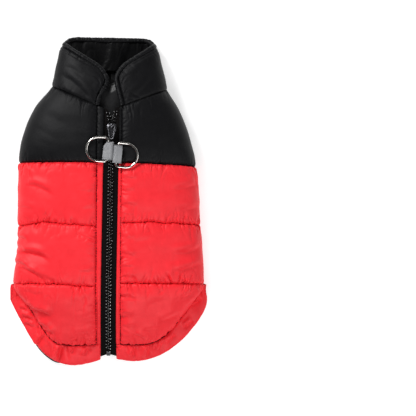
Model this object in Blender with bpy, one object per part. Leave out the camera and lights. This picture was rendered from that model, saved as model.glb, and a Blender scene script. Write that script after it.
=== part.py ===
"""Padded dog vest, laid on its belly with the zip side up.

The garment is one flattened tube. Rings run round it from the collar's top edge to the
tail's hem, and every cloth piece is a wall cut out of that tube between two rings.
A place on the tube is given by
  side   -1 left of the zip, +1 right of it, as seen from above
  t      0 at the zip, 1 at the side edge, 2 where the flat belly begins, 3 at mid belly
  v      the ring: 0 collar top, 1 neck seam, 3 yoke seam, 4 and 5 quilt seams,
         6 hem line, 7 hem edge
Sizes are in millimetres and become metres when a mesh is made. +Y points to the neck.
"""
import math

import bmesh
import bpy
import numpy as np
from mathutils import Matrix, Vector

MM = 0.001

# Driving dimensions of the cloth
SEAM_GAP = 0.3
YOKE_END = 3.0
SECTION_FULLNESS = 0.8
TAIL_FULLNESS = 1.0
BELLY_CURVE = 7.0
COLLAR_SQUARE = 2.0
SAG_END = 0.94
WALL = 3.0
LINING_TOP = 3.5
LINING_WALL = 1.0
LINING_GROW = 1.07
LINING_SHY = 0.8
LINING_ROWS = 6
PADDING = {"yoke": 3.0, "channel": 3.6, "hem": 1.2, "collar": 1.6}
BELLY_WALL = 3.6
HEM_EXTRA = 1.0
FLAP_TOP = 4.2
FLAP_WALL = 1.2
FLAP_START = 0.32
FLAP_END = 6.93
FACING_START = 5.8

# Places on the tube measured from the zip's centre
ZIP_SHIFT = 0.9
ZIP_LEAN = 0.0088
CHAIN_HALF = 2.8
TAPE_EDGE = 7.4
PLACKET_EDGE = 12.0
COLLAR_EDGE_BASE = 13.4
COLLAR_EDGE_TOP = 4.4
FLAP_HALF = 9.4
OPEN_ROWS_APART = 4.0

# Depth of the top and of the underside of what runs beside the zip
TAPE_DEPTH = (1.2, 2.2)
PLACKET_DEPTH = (-0.2, 2.4)
PLACKET_CROWN = 0.8
ROW_DEPTH = (-0.4, 2.4)
ROW_FROM_TAPE = (-2.7, -0.7)
CHAIN_DEPTH = (-0.6, 2.4)

# The chain and its tapes drift to the right towards the neck
DRIFT = 2.2
DRIFT_START = -125.0
DRIFT_END = 70.0

# Hem line: share of the half width where it leaves the tail's straight edge, how softly
# it turns there, and how far it bows out on its way up to the side. Hem edge: how late it
# leaves the tail, and how round it is at the side
HEM_LINE_RING = 6.0
HEM_TURN = {-1: (0.63, 0.06, 0.3), 1: (0.58, 0.09, 0.0)}
HEM_CUT = {-1: (3.6, 1.08), 1: (1.58, 1.93)}

# Side seam: distance from the side edge, round towards the belly
SEAM_ARC = ((1.0, 23.0), (1.65, 34.0), (3.0, 34.0), (4.0, 37.0), (5.0, 38.0), (7.0, 38.0))
ROLL = {-1: 4.0, 1: -4.0}

# Armhole oval, in rings along and in millimetres round
ARMHOLE_MIDDLE = 2.34
ARMHOLE_REACH = 0.645
ARMHOLE_HALF = 24.5
BINDING_WIDTH = 6.5
# Section of the fleece ring: share of its width from the seam, depth
BINDING_SECTION = ((0.0, 0.3), (0.35, 0.0), (0.8, 0.3), (1.0, 1.4),
                   (1.0, 3.4), (0.8, 4.4), (0.3, 4.4), (0.0, 4.0))

# Rolled edge of the collar: radius, height of its centre above that, size of the rounded
# corner and the v at which that corner is placed
EDGE_ROLL = 2.1
ROLL_PROUD = 0.05
COLLAR_CORNER = 12.0
CORNER_LEVEL = 0.05
COLLAR_FOOT = 0.996

# Zip hardware
SLIDER_Y = 69.0
SLIDER_REACH = 7.0
SLIDER_BLOCKS = (
    # name, centre and size across, along and up, bevel
    ("slider_plate", (0.0, 0.0, 1.75), (9.6, 13.0, 1.5), 0.4),
    ("slider_post", (0.0, 5.1, -0.6), (2.0, 2.2, 4.4), 0.0),
    ("slider_under", (0.0, 0.0, -3.2), (9.6, 13.0, 1.2), 0.3),
    ("bail_leg_front", (0.0, 2.7, 3.6), (2.0, 1.0, 3.6), 0.0),
    ("bail_leg_back", (0.0, 6.1, 3.6), (2.0, 1.0, 3.6), 0.0),
    ("bail_bridge", (0.0, 4.4, 5.35), (2.3, 4.8, 0.9), 0.0),
)
STOP_Y = -153.5
STOP_SIZE = (4.2, 6.0, 2.6)
STOP_SINK = 0.3
STOP_BEVEL = 0.3
TAB_AXIS_Y = 73.4
TAB_LENGTH = 13.4
TAB_WIDTH = 8.0
TAB_TAPER = 0.60
TAB_WIRE = 1.5
TAB_CORNER = 1.6
TAB_HEIGHT = 3.9

# D-rings and their webbing loops
RING_WIRE = 2.4
RING_BOW = 11.9
RING_LEG = 8.8
RING_CORNER = 3.0
RING_HEIGHT = 54.3
RINGS_AT = {-1: (-0.2, 49.8, -3.4), 1: (9.0, 45.0, -6.5)}
WEBBING_WIDTH = 18.6
WEBBING_THICK = 1.2
WEBBING_BASE = {-1: -6.6, 1: 14.4}
WEBBING_FOLD = {-1: 5.5, 1: 6.0}

COLUMNS = ("v", "y_zip", "y_side", "y_belly", "x_left", "x_right", "z_top", "z_side",
           "corner", "bend", "slope", "sag")
RINGS = np.array([
    # collar top, collar middle, neck seam
    (0.0, 128.5, 157.0, 162.8, -45.5, 46.5, 33.0, 13.0, 15.0, 1.00, -0.020, 0.0),
    (0.5, 108.0, 134.0, 146.0, -50.5, 52.0, 40.0, 14.5, 17.0, 1.00, -0.015, 0.0),
    (1.0, 89.0, 112.0, 129.0, -56.5, 58.0, 44.5, 16.0, 19.0, 1.00, -0.030, 0.0),
    # shoulder, chest at the top and the middle of the armhole
    (1.5, 76.0, 91.0, 103.0, -72.5, 70.0, 47.5, 17.0, 21.0, 1.20, -0.026, 0.0),
    (2.0, 63.0, 71.0, 78.0, -82.0, 78.0, 49.5, 18.0, 22.0, 1.50, -0.022, 0.0),
    (2.5, 50.0, 52.0, 53.0, -87.5, 83.5, 50.5, 18.5, 22.0, 1.80, -0.020, 0.0),
    # yoke seam and the two quilt seams
    (3.0, 37.0, 34.5, 29.0, -89.5, 87.0, 50.5, 19.0, 22.0, 2.00, -0.020, 0.0),
    (4.0, -24.5, -25.0, -25.0, -89.5, 91.0, 49.5, 19.5, 22.0, 2.25, 0.000, 0.0),
    (5.0, -84.5, -84.2, -65.8, -95.0, 95.0, 46.0, 20.0, 22.0, 2.25, 0.000, 0.0),
    # hem line and hem edge
    (6.0, -143.6, -84.8, -66.2, -95.0, 95.0, 17.5, 20.0, 22.0, 1.90, 0.000, 2.6),
    (7.0, -155.4, -97.0, -79.0, -98.0, 98.0, 10.0, 18.5, 22.0, 2.25, 0.000, 10.3),
])

# Where each panel is divided across (share of the way from placket to side seam) and along
ACROSS = (0.0, 0.05, 0.13, 0.22, 0.32, 0.42, 0.52, 0.61, 0.70, 0.77, 0.84, 0.91, 1.0)
TIP = 0.61
FACING_TIP = 0.52
SIDE_SHARE = 0.70
SIDE_COLUMN = ACROSS.index(SIDE_SHARE)
BELLY_SHARES = (0.0, 0.12, 0.3, 0.5, 0.75, 1.0)
COLLAR_FRONT = (0.2, 0.42, 0.64, 0.82, 0.92, 0.97, 1.0)
COLLAR_ROWS = (0.0, 0.2, 0.4, 0.6, 0.8, 1.0)
YOKE_ROWS = (1.003, 1.25, 1.5)
ARMHOLE_ROWS = 10
BELLY_ROWS = (3.3, 3.7, 4.1, 4.5, 4.997)
LINING_NECK_ROWS = (1.02, 1.33)
LINING_BACK_ROWS = (3.6, 4.2, 4.7, 4.985, 5.25, 5.5, FACING_START)
FACING_ROWS = (FACING_START + 0.006, 5.9, 6.0, 6.34, 6.67)
CHANNEL_ROWS = 6
HEM_ROWS = 3

COLOURS = {
    "black_shell": (0.012, 0.012, 0.013, 0.55, 0.0),
    "red_shell": (0.80, 0.045, 0.055, 0.55, 0.0),
    "black_lining": (0.008, 0.008, 0.009, 0.38, 0.0),
    "black_fleece": (0.006, 0.006, 0.006, 0.95, 0.0),
    "zip_tape": (0.007, 0.007, 0.007, 0.9, 0.0),
    "zip_teeth": (0.02, 0.02, 0.02, 0.35, 0.0),
    "zip_metal": (0.10, 0.10, 0.11, 0.35, 1.0),
    "reflective_webbing": (0.22, 0.22, 0.225, 0.5, 0.0),
    "polished_steel": (0.75, 0.74, 0.72, 0.12, 1.0),
}


def steady_curve(v, knots, values):
    """Curve through a table column that never swings past the table's own values."""
    step = np.diff(knots)
    slope = np.diff(values) / step
    tangent = np.zeros(len(knots))
    same = slope[:-1] * slope[1:] > 0
    both = np.where(same, slope[:-1] + slope[1:], 1.0)
    tangent[1:-1] = np.where(same, 2 * slope[:-1] * slope[1:] / both, 0.0)
    tangent[0], tangent[-1] = slope[0], slope[-1]
    i = np.clip(np.searchsorted(knots, v, side="right") - 1, 0, len(step) - 1)
    h = step[i]
    u = (v - knots[i]) / h
    start, end = values[i], values[i + 1]
    return (start * (2 * u**3 - 3 * u**2 + 1) + end * (3 * u**2 - 2 * u**3)
            + h * tangent[i] * (u**3 - 2 * u**2 + u) + h * tangent[i + 1] * (u**3 - u**2))


def ring(v):
    """Every size of the ring at v, by name."""
    v = np.asarray(v, float)
    knots = RINGS[:, 0]
    return {name: steady_curve(v, knots, RINGS[:, k])
            for k, name in enumerate(COLUMNS) if k > 0}


def zip_x(r):
    return ZIP_SHIFT + ZIP_LEAN * r["y_zip"]


def half_width(side, r):
    return np.where(np.asarray(side) < 0, zip_x(r) - r["x_left"], r["x_right"] - zip_x(r))


def hem_turn(side, reach):
    """Share of the way up from the tail to the side, at a share of the half width."""
    values = []
    for start, soft, bow in (HEM_TURN[-1], HEM_TURN[1]):
        rise = np.log1p(np.exp((reach - start) / soft)) / math.log1p(math.exp((1 - start) / soft))
        values.append(rise + bow * rise * (1 - rise))
    return np.where(side < 0, values[0], values[1])


def hem_cut(side, reach):
    """The same share at the hem edge: nearly straight to the side, left and right unlike."""
    values = [1 - np.clip(1 - reach**curve, 0, 1) ** (1 / end) for curve, end in (HEM_CUT[-1], HEM_CUT[1])]
    return np.where(side < 0, values[0], values[1])


def tube(side, t, v):
    """Point of the tube at seam level: a full arc above, a round edge, a flat belly."""
    side, t, v = np.broadcast_arrays(side, t, v)
    r = ring(v)
    half = half_width(side, r)
    flat = half - r["corner"]
    above = np.clip(t, -1, 1) * math.pi / 2
    edge = (2 - np.clip(t, 1, 2)) * math.pi / 2
    share = np.sin(above)
    fullness = np.where(r["z_top"] < r["z_side"], TAIL_FULLNESS, SECTION_FULLNESS)
    rise = np.clip(np.cos(above), 0, 1) ** fullness
    reach = np.abs(share)
    turn = 1 - np.clip(1 - reach ** r["bend"], 0, 1) ** (1 / r["bend"])
    turn = np.where(v > HEM_LINE_RING, hem_cut(side, reach), turn)
    off = np.clip(np.abs(v - HEM_LINE_RING), 0, 1)
    turn += (hem_turn(side, reach) - turn) * (1 - off**2 * (3 - 2 * off))
    sag = r["sag"] * np.sin(math.pi * np.clip(reach / SAG_END, 0, 1))
    top = t <= 1
    out = np.where(top, half * share,
                   np.where(t <= 2, flat + r["corner"] * np.sin(edge), flat * (3 - t)))
    z = np.where(top, r["z_side"] + (r["z_top"] - r["z_side"]) * rise,
                 np.where(t <= 2, r["z_side"] * (1 - np.cos(edge)), 0.0))
    square = BELLY_CURVE + COLLAR_SQUARE * np.clip(1 - v, 0, 1)
    under = 1 - np.clip(np.abs(out) / half, 0, 1) ** square
    y = np.where(top, r["y_zip"] + (r["y_side"] - r["y_zip"]) * turn - sag,
                 r["y_side"] + (r["y_belly"] - r["y_side"]) * under)
    x = side * out
    return np.stack([zip_x(r) + x, y + r["slope"] * x, z], -1)


def outward(side, t, v):
    """Unit normal of the tube, out of the garment."""
    step = 0.004
    along_t = tube(side, t + step, v) - tube(side, t - step, v)
    low, high = np.clip(v - step, 0, 7), np.clip(v + step, 0, 7)
    along_v = tube(side, t, high) - tube(side, t, low)
    normal = np.cross(along_v, along_t) * np.asarray(side)[..., None]
    return normal / np.linalg.norm(normal, axis=-1, keepdims=True)


def place(side, t, v, depth):
    """Point at a depth inside the tube; a negative depth stands proud of it."""
    side, t, v, depth = (np.array(a, float) for a in np.broadcast_arrays(side, t, v, depth))
    return tube(side, t, v) - outward(side, t, v) * depth[..., None]


def t_from_zip(side, v, distance):
    """t at a distance from the zip's centre line, measured across."""
    return np.arcsin(distance / half_width(side, ring(v))) / (math.pi / 2)


def t_from_edge(side, v, arc):
    """t at a distance from the side edge, measured round under the garment."""
    r = ring(v)
    bend = math.pi / 2 * np.sqrt((r["corner"] ** 2 + r["z_side"] ** 2) / 2)
    flat = half_width(side, r) - r["corner"]
    return np.where(arc < bend, 1 + arc / bend, 2 + (arc - bend) / flat)


def drift(v):
    """How far the chain and its tapes lie to the right of the placket's middle."""
    y = ring(v)["y_zip"]
    return DRIFT * np.clip((y - DRIFT_START) / (DRIFT_END - DRIFT_START), 0, 1)


def seam_arc(side, v):
    table = np.array(SEAM_ARC)
    return np.interp(v, table[:, 0], table[:, 1]) + ROLL[side]


def armhole_bulge(v, grow=1.0):
    """Half width of the armhole oval at ring v; nothing outside it."""
    share = (v - ARMHOLE_MIDDLE) / (ARMHOLE_REACH * grow)
    return ARMHOLE_HALF * grow * np.sqrt(np.clip(1 - share**2, 0, 1))


def back_edge(side, v):
    """t of a back panel's outer edge: the side seam, or the armhole's outer edge."""
    return t_from_edge(side, v, seam_arc(side, v) - armhole_bulge(v) - SEAM_GAP / 2)


def belly_edge(side, v):
    return t_from_edge(side, v, seam_arc(side, v) + armhole_bulge(v) + SEAM_GAP / 2)


def pad_profile(u):
    """Padding between two seams: nothing at 0 and 1, full and flat between."""
    return np.sqrt(np.clip(1 - np.abs(2 * u - 1) ** 3.0, 0, 1))


def rows_between(start, end, count, inset=SEAM_GAP / 2):
    """Ring values from one seam to the next, drawn in by the seam gap."""
    reach = np.linalg.norm(tube(1, 0.5, end) - tube(1, 0.5, start)) / (end - start)
    return np.linspace(start + inset / reach, end - inset / reach, count + 1)


def armhole_rows(count, grow=1.0):
    """Rows past the armhole, close together at the oval's ends."""
    turn = np.linspace(0, math.pi, count + 1)
    return ARMHOLE_MIDDLE - ARMHOLE_REACH * grow * np.cos(turn)


def yoke_rows():
    return np.concatenate([YOKE_ROWS, armhole_rows(ARMHOLE_ROWS)])


def new_object(name, vertices, faces, material):
    mesh = bpy.data.meshes.new(name)
    mesh.from_pydata([tuple(p) for p in np.asarray(vertices) * MM], [], faces)
    shape = bmesh.new()
    shape.from_mesh(mesh)
    bmesh.ops.recalc_face_normals(shape, faces=shape.faces[:])
    bmesh.ops.triangulate(shape, faces=shape.faces[:])
    shape.to_mesh(mesh)
    shape.free()
    mesh.materials.append(materials[material])
    made = bpy.data.objects.new(name, mesh)
    bpy.context.scene.collection.objects.link(made)
    return made


def wall(name, outer, inner, material, keep=None):
    """Closed wall between two grids of points; keep says which cells are cut out."""
    rows, columns = outer.shape[:2]
    keep = np.ones((rows - 1, columns - 1), bool) if keep is None else keep
    number = np.arange(rows * columns).reshape(rows, columns)
    under = rows * columns
    faces, border = [], {}
    for i, j in np.argwhere(keep):
        cell = [int(n) for n in (number[i, j], number[i, j + 1],
                                 number[i + 1, j + 1], number[i + 1, j])]
        faces.append(cell)
        faces.append([n + under for n in reversed(cell)])
        for a, b in zip(cell, cell[1:] + cell[:1]):
            if (b, a) in border:
                del border[b, a]
            else:
                border[a, b] = True
    faces += [[b, a, a + under, b + under] for a, b in border]
    points = np.concatenate([outer.reshape(-1, 3), inner.reshape(-1, 3)])
    used = sorted({n for face in faces for n in face})
    renumber = {old: new for new, old in enumerate(used)}
    return new_object(name, points[used], [[renumber[n] for n in f] for f in faces], material)


def belly_fade(t):
    """Padding stands proud above and at the side, and not where the garment rests."""
    return np.clip((1.75 - t) / 0.75, 0, 1)


def back_grid(side, rows, inner_distance, edge=back_edge):
    """t and v over a back panel, from a distance off the zip to its outer edge."""
    share, v = np.meshgrid(ACROSS, rows)
    start = t_from_zip(side, v, inner_distance)
    end = edge(side, v)
    t = np.where(share < SIDE_SHARE, start + (1 - start) * share / SIDE_SHARE,
                 1 + (end - 1) * (share - SIDE_SHARE) / (1 - SIDE_SHARE))
    return share, t, v


def back_panel(name, side, rows, padding, material, tip=1.0):
    """Padded back panel: proud between its seams, one wall thick at them."""
    share, t, v = back_grid(side, rows, PLACKET_EDGE + SEAM_GAP)
    keep = share[:-1, 1:] <= tip + 1e-6
    across = pad_profile(np.clip(share / tip, 0, 1))
    along = pad_profile((v - rows[0]) / (rows[-1] - rows[0]))
    proud = padding * across * along * belly_fade(t)
    wall(name, place(side, t, v, -proud), place(side, t, v, WALL), material, keep)


def hem_band(name, side, rows):
    """Padded band from the zip tape round the tail and under to the belly seam."""
    share, t, v = back_grid(side, rows, PLACKET_EDGE + SEAM_GAP)
    first = t_from_zip(side, v[:, :1], TAPE_EDGE + SEAM_GAP + side * drift(v[:, :1]))
    t = np.concatenate([first, t], 1)
    v = np.concatenate([v[:, :1], v], 1)
    along = pad_profile((v - rows[0]) / (rows[-1] - rows[0]))
    proud = PADDING["hem"] * along * belly_fade(t)
    wall(name, place(side, t, v, -proud), place(side, t, v, WALL), "red_shell")


def strip(name, side, start, end, count, near, far, depths, material, crown=0.0):
    """Narrow strip beside the zip, between two distances from its centre."""
    v = np.linspace(start, end, count + 1)[:, None]
    share = np.array([0.0, 0.5, 1.0])[None, :]
    near, far = (d(v) if callable(d) else d for d in (near, far))
    t = t_from_zip(side, v, near + (far - near) * share)
    v = np.broadcast_to(v, t.shape)
    lift = crown * (share == 0.5)
    wall(name, place(side, t, v, depths[0] - lift), place(side, t, v, depths[1]), material)


def v_at_zip(y):
    """Ring whose top centre lies at y."""
    fine = np.linspace(0, 7, 1401)
    return float(np.interp(-y, -ring(fine)["y_zip"], fine))


def inside_grid(side, rows, edge=back_edge):
    """The panels' own columns, with one more that reaches in to the flap."""
    share, t, v = back_grid(side, rows, PLACKET_EDGE + SEAM_GAP, edge)
    first = t_from_zip(side, v[:, :1], FLAP_HALF + SEAM_GAP)
    return (np.concatenate([part[:, :1] if k != 1 else first, part], 1)
            for k, part in enumerate((share, t, v)))


def lining(name, side):
    """Lining under the whole back, stopping at the facing of the tail's hem."""
    def edge(side, v):
        arc = seam_arc(side, v) - armhole_bulge(v, LINING_GROW) - LINING_SHY
        return t_from_edge(side, v, arc)
    rows = np.concatenate([LINING_NECK_ROWS, armhole_rows(LINING_ROWS, LINING_GROW),
                           LINING_BACK_ROWS])
    share, t, v = inside_grid(side, rows, edge)
    tail = v[1:, :-1] > 5
    keep = ~tail | (share[:-1, 1:] <= TIP + 1e-6)
    wall(name, place(side, t, v, LINING_TOP), place(side, t, v, LINING_TOP + LINING_WALL),
         "black_lining", keep)


def hem_facing(name, side):
    """Band inside the tail's hem, carrying on from the lining."""
    share, t, v = inside_grid(side, FACING_ROWS)
    keep = share[:-1, 1:] <= FACING_TIP + 1e-6
    wall(name, place(side, t, v, LINING_TOP), place(side, t, v, LINING_TOP + LINING_WALL),
         "black_lining", keep)


def collar_edge(side, v):
    """Distance of the collar's front edge from the zip's centre: an S, open below."""
    lean = np.asarray(v) ** 2 * (3 - 2 * np.asarray(v))
    return COLLAR_EDGE_TOP + side * drift(v) + (COLLAR_EDGE_BASE - COLLAR_EDGE_TOP) * lean


def under_neck(side):
    """t of the columns where the belly and the yoke meet the collar, mid belly first."""
    v = YOKE_ROWS[0]
    across = belly_edge(side, v) + (3 - belly_edge(side, v)) * np.array(BELLY_SHARES[::-1])
    round_side = np.array(ACROSS[:SIDE_COLUMN - 1:-1])
    share = (round_side - SIDE_SHARE) / (1 - SIDE_SHARE)
    return np.concatenate([across[:-1], 1 + (back_edge(side, v) - 1) * share])


def collar_half(side, v, inset):
    """t along half the collar, from mid belly to the front edge drawn in by inset."""
    under = under_neck(side)
    front = np.array(COLLAR_FRONT)
    share = np.concatenate([0 * under, front])[None, :]
    base = np.concatenate([under, 1 + 0 * front])[None, :]
    end = t_from_zip(side, v, collar_edge(side, v) + inset)
    return base + (end - 1) * share


def v_down_collar(side, t, distance):
    """Ring value at a distance down from the collar's top edge."""
    step = 0.1
    reach = np.linalg.norm(tube(side, t, step) - tube(side, t, 0.0), axis=-1) / step
    return distance / reach


def collar():
    """One padded strip round the neck, open at the zip, its top corners rounded."""
    inset = 2 * EDGE_ROLL + 2 * SEAM_GAP
    rows = np.array(COLLAR_ROWS)
    halves = []
    for side in (-1, 1):
        t = collar_half(side, 0.1, inset)
        away = (t - t[:, -1:]) * math.pi / 2 * half_width(side, ring(0.0))
        left = np.clip(COLLAR_CORNER - away, 0, None)
        fall = COLLAR_CORNER - np.sqrt(COLLAR_CORNER**2 - left**2)
        start = v_down_collar(side, t, inset + fall * (t <= 1))
        v = start + (COLLAR_FOOT - start) * rows[:, None]
        t = collar_half(side, v, inset)
        up = pad_profile(rows)[:, None]
        front = pad_profile(0.5 + 0.5 * np.linspace(0, 1, t.shape[1]) ** 4)[None, :]
        proud = PADDING["collar"] * up * front * belly_fade(t)
        halves.append((np.full(t.shape, side), t, v, proud))
    left = [part[:, ::-1] for part in halves[0]]
    right = [part[:, 1:] for part in halves[1]]
    side, t, v, proud = (np.concatenate(pair, 1) for pair in zip(left, right))
    wall("collar", place(side, t, v, -proud), place(side, t, v, WALL), "black_shell")


def sweep(name, centres, across, up, profile, material, closed):
    """Solid carried along a path: profile columns are offsets across and up."""
    count, turns = len(centres), len(profile)
    points = (centres[:, None, :] + profile[None, :, :1] * across[:, None, :]
              + profile[None, :, 1:] * up[:, None, :]).reshape(-1, 3)
    faces = []
    for i in range(count if closed else count - 1):
        for j in range(turns):
            a, b = i * turns, (i + 1) % count * turns
            k = (j + 1) % turns
            faces.append([a + j, a + k, b + k, b + j])
    if not closed:
        faces.append(list(range(turns)))
        faces.append(list(range((count - 1) * turns, count * turns))[::-1])
    return new_object(name, points, faces, material)


def oval_profile(width, height, sides):
    angle = np.linspace(0, 2 * math.pi, sides, endpoint=False) + math.pi / sides
    return np.stack([width / 2 * np.cos(angle), height / 2 * np.sin(angle)], 1)


def path_frame(centres, up, closed):
    """Direction across a path, square to it and to up."""
    ahead = np.roll(centres, -1, 0) - np.roll(centres, 1, 0)
    if not closed:
        ahead[0], ahead[-1] = centres[1] - centres[0], centres[-1] - centres[-2]
    across = np.cross(ahead, up)
    return across / np.linalg.norm(across, axis=1, keepdims=True)


def collar_binding():
    """Rolled edge, up the left front edge, round the top and down the right front edge."""
    roll = EDGE_ROLL
    paths = []
    for side in (-1, 1):
        front = float(t_from_zip(side, CORNER_LEVEL, collar_edge(side, CORNER_LEVEL) + roll))
        top, corner_v = (float(v_down_collar(side, front, roll + down))
                         for down in (0.0, COLLAR_CORNER))
        v_front = np.linspace(0.985, corner_v, 8)
        t_front = t_from_zip(side, v_front, collar_edge(side, v_front) + roll)
        turn = np.radians((30.0, 60.0))
        v_turn = corner_v - (corner_v - top) * np.sin(turn)
        beside = collar_edge(side, v_turn) + roll + COLLAR_CORNER * (1 - np.cos(turn))
        t_turn = t_from_zip(side, v_turn, beside)
        start = t_from_zip(side, top, collar_edge(side, top) + roll + COLLAR_CORNER)
        t_top = np.concatenate([1 + (start - 1) * np.array((1.0, 0.8, 0.6, 0.4, 0.2)),
                                under_neck(side)[::-1]])
        v_top = v_down_collar(side, t_top, roll)
        t = np.concatenate([t_front, t_turn, t_top])
        v = np.concatenate([v_front, v_turn, v_top])
        paths.append((np.full(len(t), side), t, v))
    side, t, v = (np.concatenate([a, b[-2::-1]]) for a, b in zip(*paths))
    centres = place(side, t, v, roll + ROLL_PROUD)
    up = outward(side, t, v)
    sweep("collar_binding", centres, path_frame(centres, up, False), up,
          oval_profile(2 * roll, 2 * roll, 6), "black_shell", False)


def belly_grid(rows):
    """Sides, t and v over the belly, from the left side seam to the right one."""
    v = rows[:, None]
    halves = []
    for side in (-1, 1):
        edge = belly_edge(side, v)
        t = edge + (3 - edge) * np.array(BELLY_SHARES)[None, :]
        halves.append((np.full(t.shape, side), t, np.broadcast_to(v, t.shape)))
    return (np.concatenate([a, b[:, -2::-1]], 1) for a, b in zip(*halves))


def belly():
    rows = np.concatenate([yoke_rows(), BELLY_ROWS])
    side, t, v = belly_grid(rows)
    wall("belly_panel", place(side, t, v, 0.0), place(side, t, v, BELLY_WALL), "black_shell")
    side, t, v = belly_grid(rows_between(6.0, 7.0, HEM_ROWS))
    inner = place(side, t, v, BELLY_WALL + HEM_EXTRA)
    wall("belly_hem", place(side, t, v, 0.0), inner, "black_shell")


def armhole_binding(name, side):
    """Flat fleece ring round the armhole, from its outer oval to the open hole."""
    angle = np.linspace(0, 2 * math.pi, 2 * ARMHOLE_ROWS, endpoint=False)
    middle = ARMHOLE_MIDDLE
    near, far = tube(side, 2.1, middle - 0.3), tube(side, 2.1, middle + 0.3)
    per_ring = float(np.linalg.norm(far - near)) / 0.6
    grids = []
    for inset in (SEAM_GAP, SEAM_GAP + BINDING_WIDTH):
        v = middle + (ARMHOLE_REACH - inset / per_ring) * np.cos(angle)
        arc = seam_arc(side, middle) + (ARMHOLE_HALF - inset) * np.sin(angle)
        t = t_from_edge(side, v, arc)
        grids.append((t, v))
    points = []
    for share, depth in BINDING_SECTION:
        t = grids[0][0] * (1 - share) + grids[1][0] * share
        v = grids[0][1] * (1 - share) + grids[1][1] * share
        points.append(place(side, t, v, depth))
    points = np.stack(points, 1)
    count, turns = points.shape[:2]
    faces = [[i * turns + j, i * turns + (j + 1) % turns,
              (i + 1) % count * turns + (j + 1) % turns, (i + 1) % count * turns + j]
             for i in range(count) for j in range(turns)]
    new_object(name, points.reshape(-1, 3), faces, "black_fleece")


def tape_inner(v):
    """Tape edge beside the chain; above the slider the two tapes draw apart."""
    above = np.clip((v_at_zip(SLIDER_Y + SLIDER_REACH) - v) / 0.5, 0, 0.8)
    return CHAIN_HALF + SEAM_GAP + OPEN_ROWS_APART * above


def zip_pieces():
    """Tapes, plackets, the open rows above the slider, the closed chain and the flap."""
    top = v_at_zip(87.5)
    for side, label in ((-1, "left"), (1, "right")):
        def off(distance):
            return lambda v: distance + side * drift(v)

        def from_tape(distance):
            return lambda v: tape_inner(v) + distance + side * drift(v)
        tape_edge = off(TAPE_EDGE)
        strip("zip_tape_" + label, side, top, 6.97, 18, from_tape(0.0), tape_edge, TAPE_DEPTH,
              "zip_tape")
        seam = off(TAPE_EDGE + SEAM_GAP)
        strip("placket_black_" + label, side, 1.01, YOKE_END - 0.003, 6, seam, PLACKET_EDGE,
              PLACKET_DEPTH, "black_shell", PLACKET_CROWN)
        strip("placket_red_" + label, side, YOKE_END + 0.003, 5.99, 10, seam, PLACKET_EDGE,
              PLACKET_DEPTH, "red_shell", PLACKET_CROWN)
        strip("zip_row_" + label, side, v_at_zip(86.0), v_at_zip(SLIDER_Y + SLIDER_REACH + 1.5),
              3, from_tape(ROW_FROM_TAPE[0]), from_tape(ROW_FROM_TAPE[1]), ROW_DEPTH,
              "zip_teeth")
    chain_end = v_at_zip(STOP_Y + STOP_SIZE[1] / 2 + 2 * SEAM_GAP)
    v = np.linspace(v_at_zip(SLIDER_Y - SLIDER_REACH), chain_end, 17)[:, None]
    side = np.array([[-1, 1]])
    t = t_from_zip(side, v, CHAIN_HALF + side * drift(v))
    v = np.broadcast_to(v, t.shape)
    top, under = (place(side, t, v, depth) for depth in CHAIN_DEPTH)
    wall("zip_chain", top, under, "zip_teeth")


def zip_flap():
    """Flap behind the zip, a little narrower where it stands up in the collar."""
    v = np.linspace(FLAP_START, FLAP_END, 26)[:, None]
    half = np.where(v < 1, FLAP_HALF - 2.0 * (1 - v), FLAP_HALF)
    side = np.array([[-1, -1, 1, 1]])
    t = t_from_zip(side, v, half * np.array([[1.0, 0.35, 0.35, 1.0]]))
    v = np.broadcast_to(v, t.shape)
    wall("zip_flap", place(side, t, v, FLAP_TOP), place(side, t, v, FLAP_TOP + FLAP_WALL),
         "black_lining")


def zip_frame(y):
    """Place on the zip's centre line at y: the point, its slope along the zip, and up."""
    def level(at):
        r = ring(v_at_zip(at))
        return np.array([float(zip_x(r) + drift(v_at_zip(at))), at, float(r["z_top"])])
    ahead = level(y + 2) - level(y - 2)
    ahead = Vector(ahead).normalized()
    across = ahead.cross(Vector((0, 0, 1))).normalized()
    return Vector(level(y)), across, ahead, across.cross(ahead)


def box_on_zip(name, y, centre, size, material, bevel=0.0):
    """Box whose centre and size are given across, along and up from the zip's line."""
    at, across, ahead, up = zip_frame(y)
    shape = bmesh.new()
    bmesh.ops.create_cube(shape, size=1.0)
    bmesh.ops.scale(shape, vec=size, verts=shape.verts)
    if bevel:
        bmesh.ops.bevel(shape, geom=shape.edges[:], offset=bevel, segments=2, affect="EDGES")
    turn = Matrix((across, ahead, up)).transposed()
    for vertex in shape.verts:
        vertex.co = (at + turn @ (vertex.co + Vector(centre))) * MM
    mesh = bpy.data.meshes.new(name)
    shape.to_mesh(mesh)
    shape.free()
    mesh.materials.append(materials[material])
    made = bpy.data.objects.new(name, mesh)
    bpy.context.scene.collection.objects.link(made)
    return made


def unite(base, parts):
    """Boolean union of helpers into the base piece; the helpers stay hidden."""
    for part in parts:
        part.hide_render = True
        part.hide_viewport = False
        part.display_type = "WIRE"
        joined = base.modifiers.new("join " + part.name, "BOOLEAN")
        joined.operation = "UNION"
        joined.solver = "EXACT"
        joined.object = part


def slider():
    """Two plates joined by a post between the open rows, with a bail on top."""
    blocks = [box_on_zip(name, SLIDER_Y, centre, size, "zip_metal", bevel)
              for name, centre, size, bevel in SLIDER_BLOCKS]
    blocks[0].name = "zip_slider"
    unite(blocks[0], blocks[1:])


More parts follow.
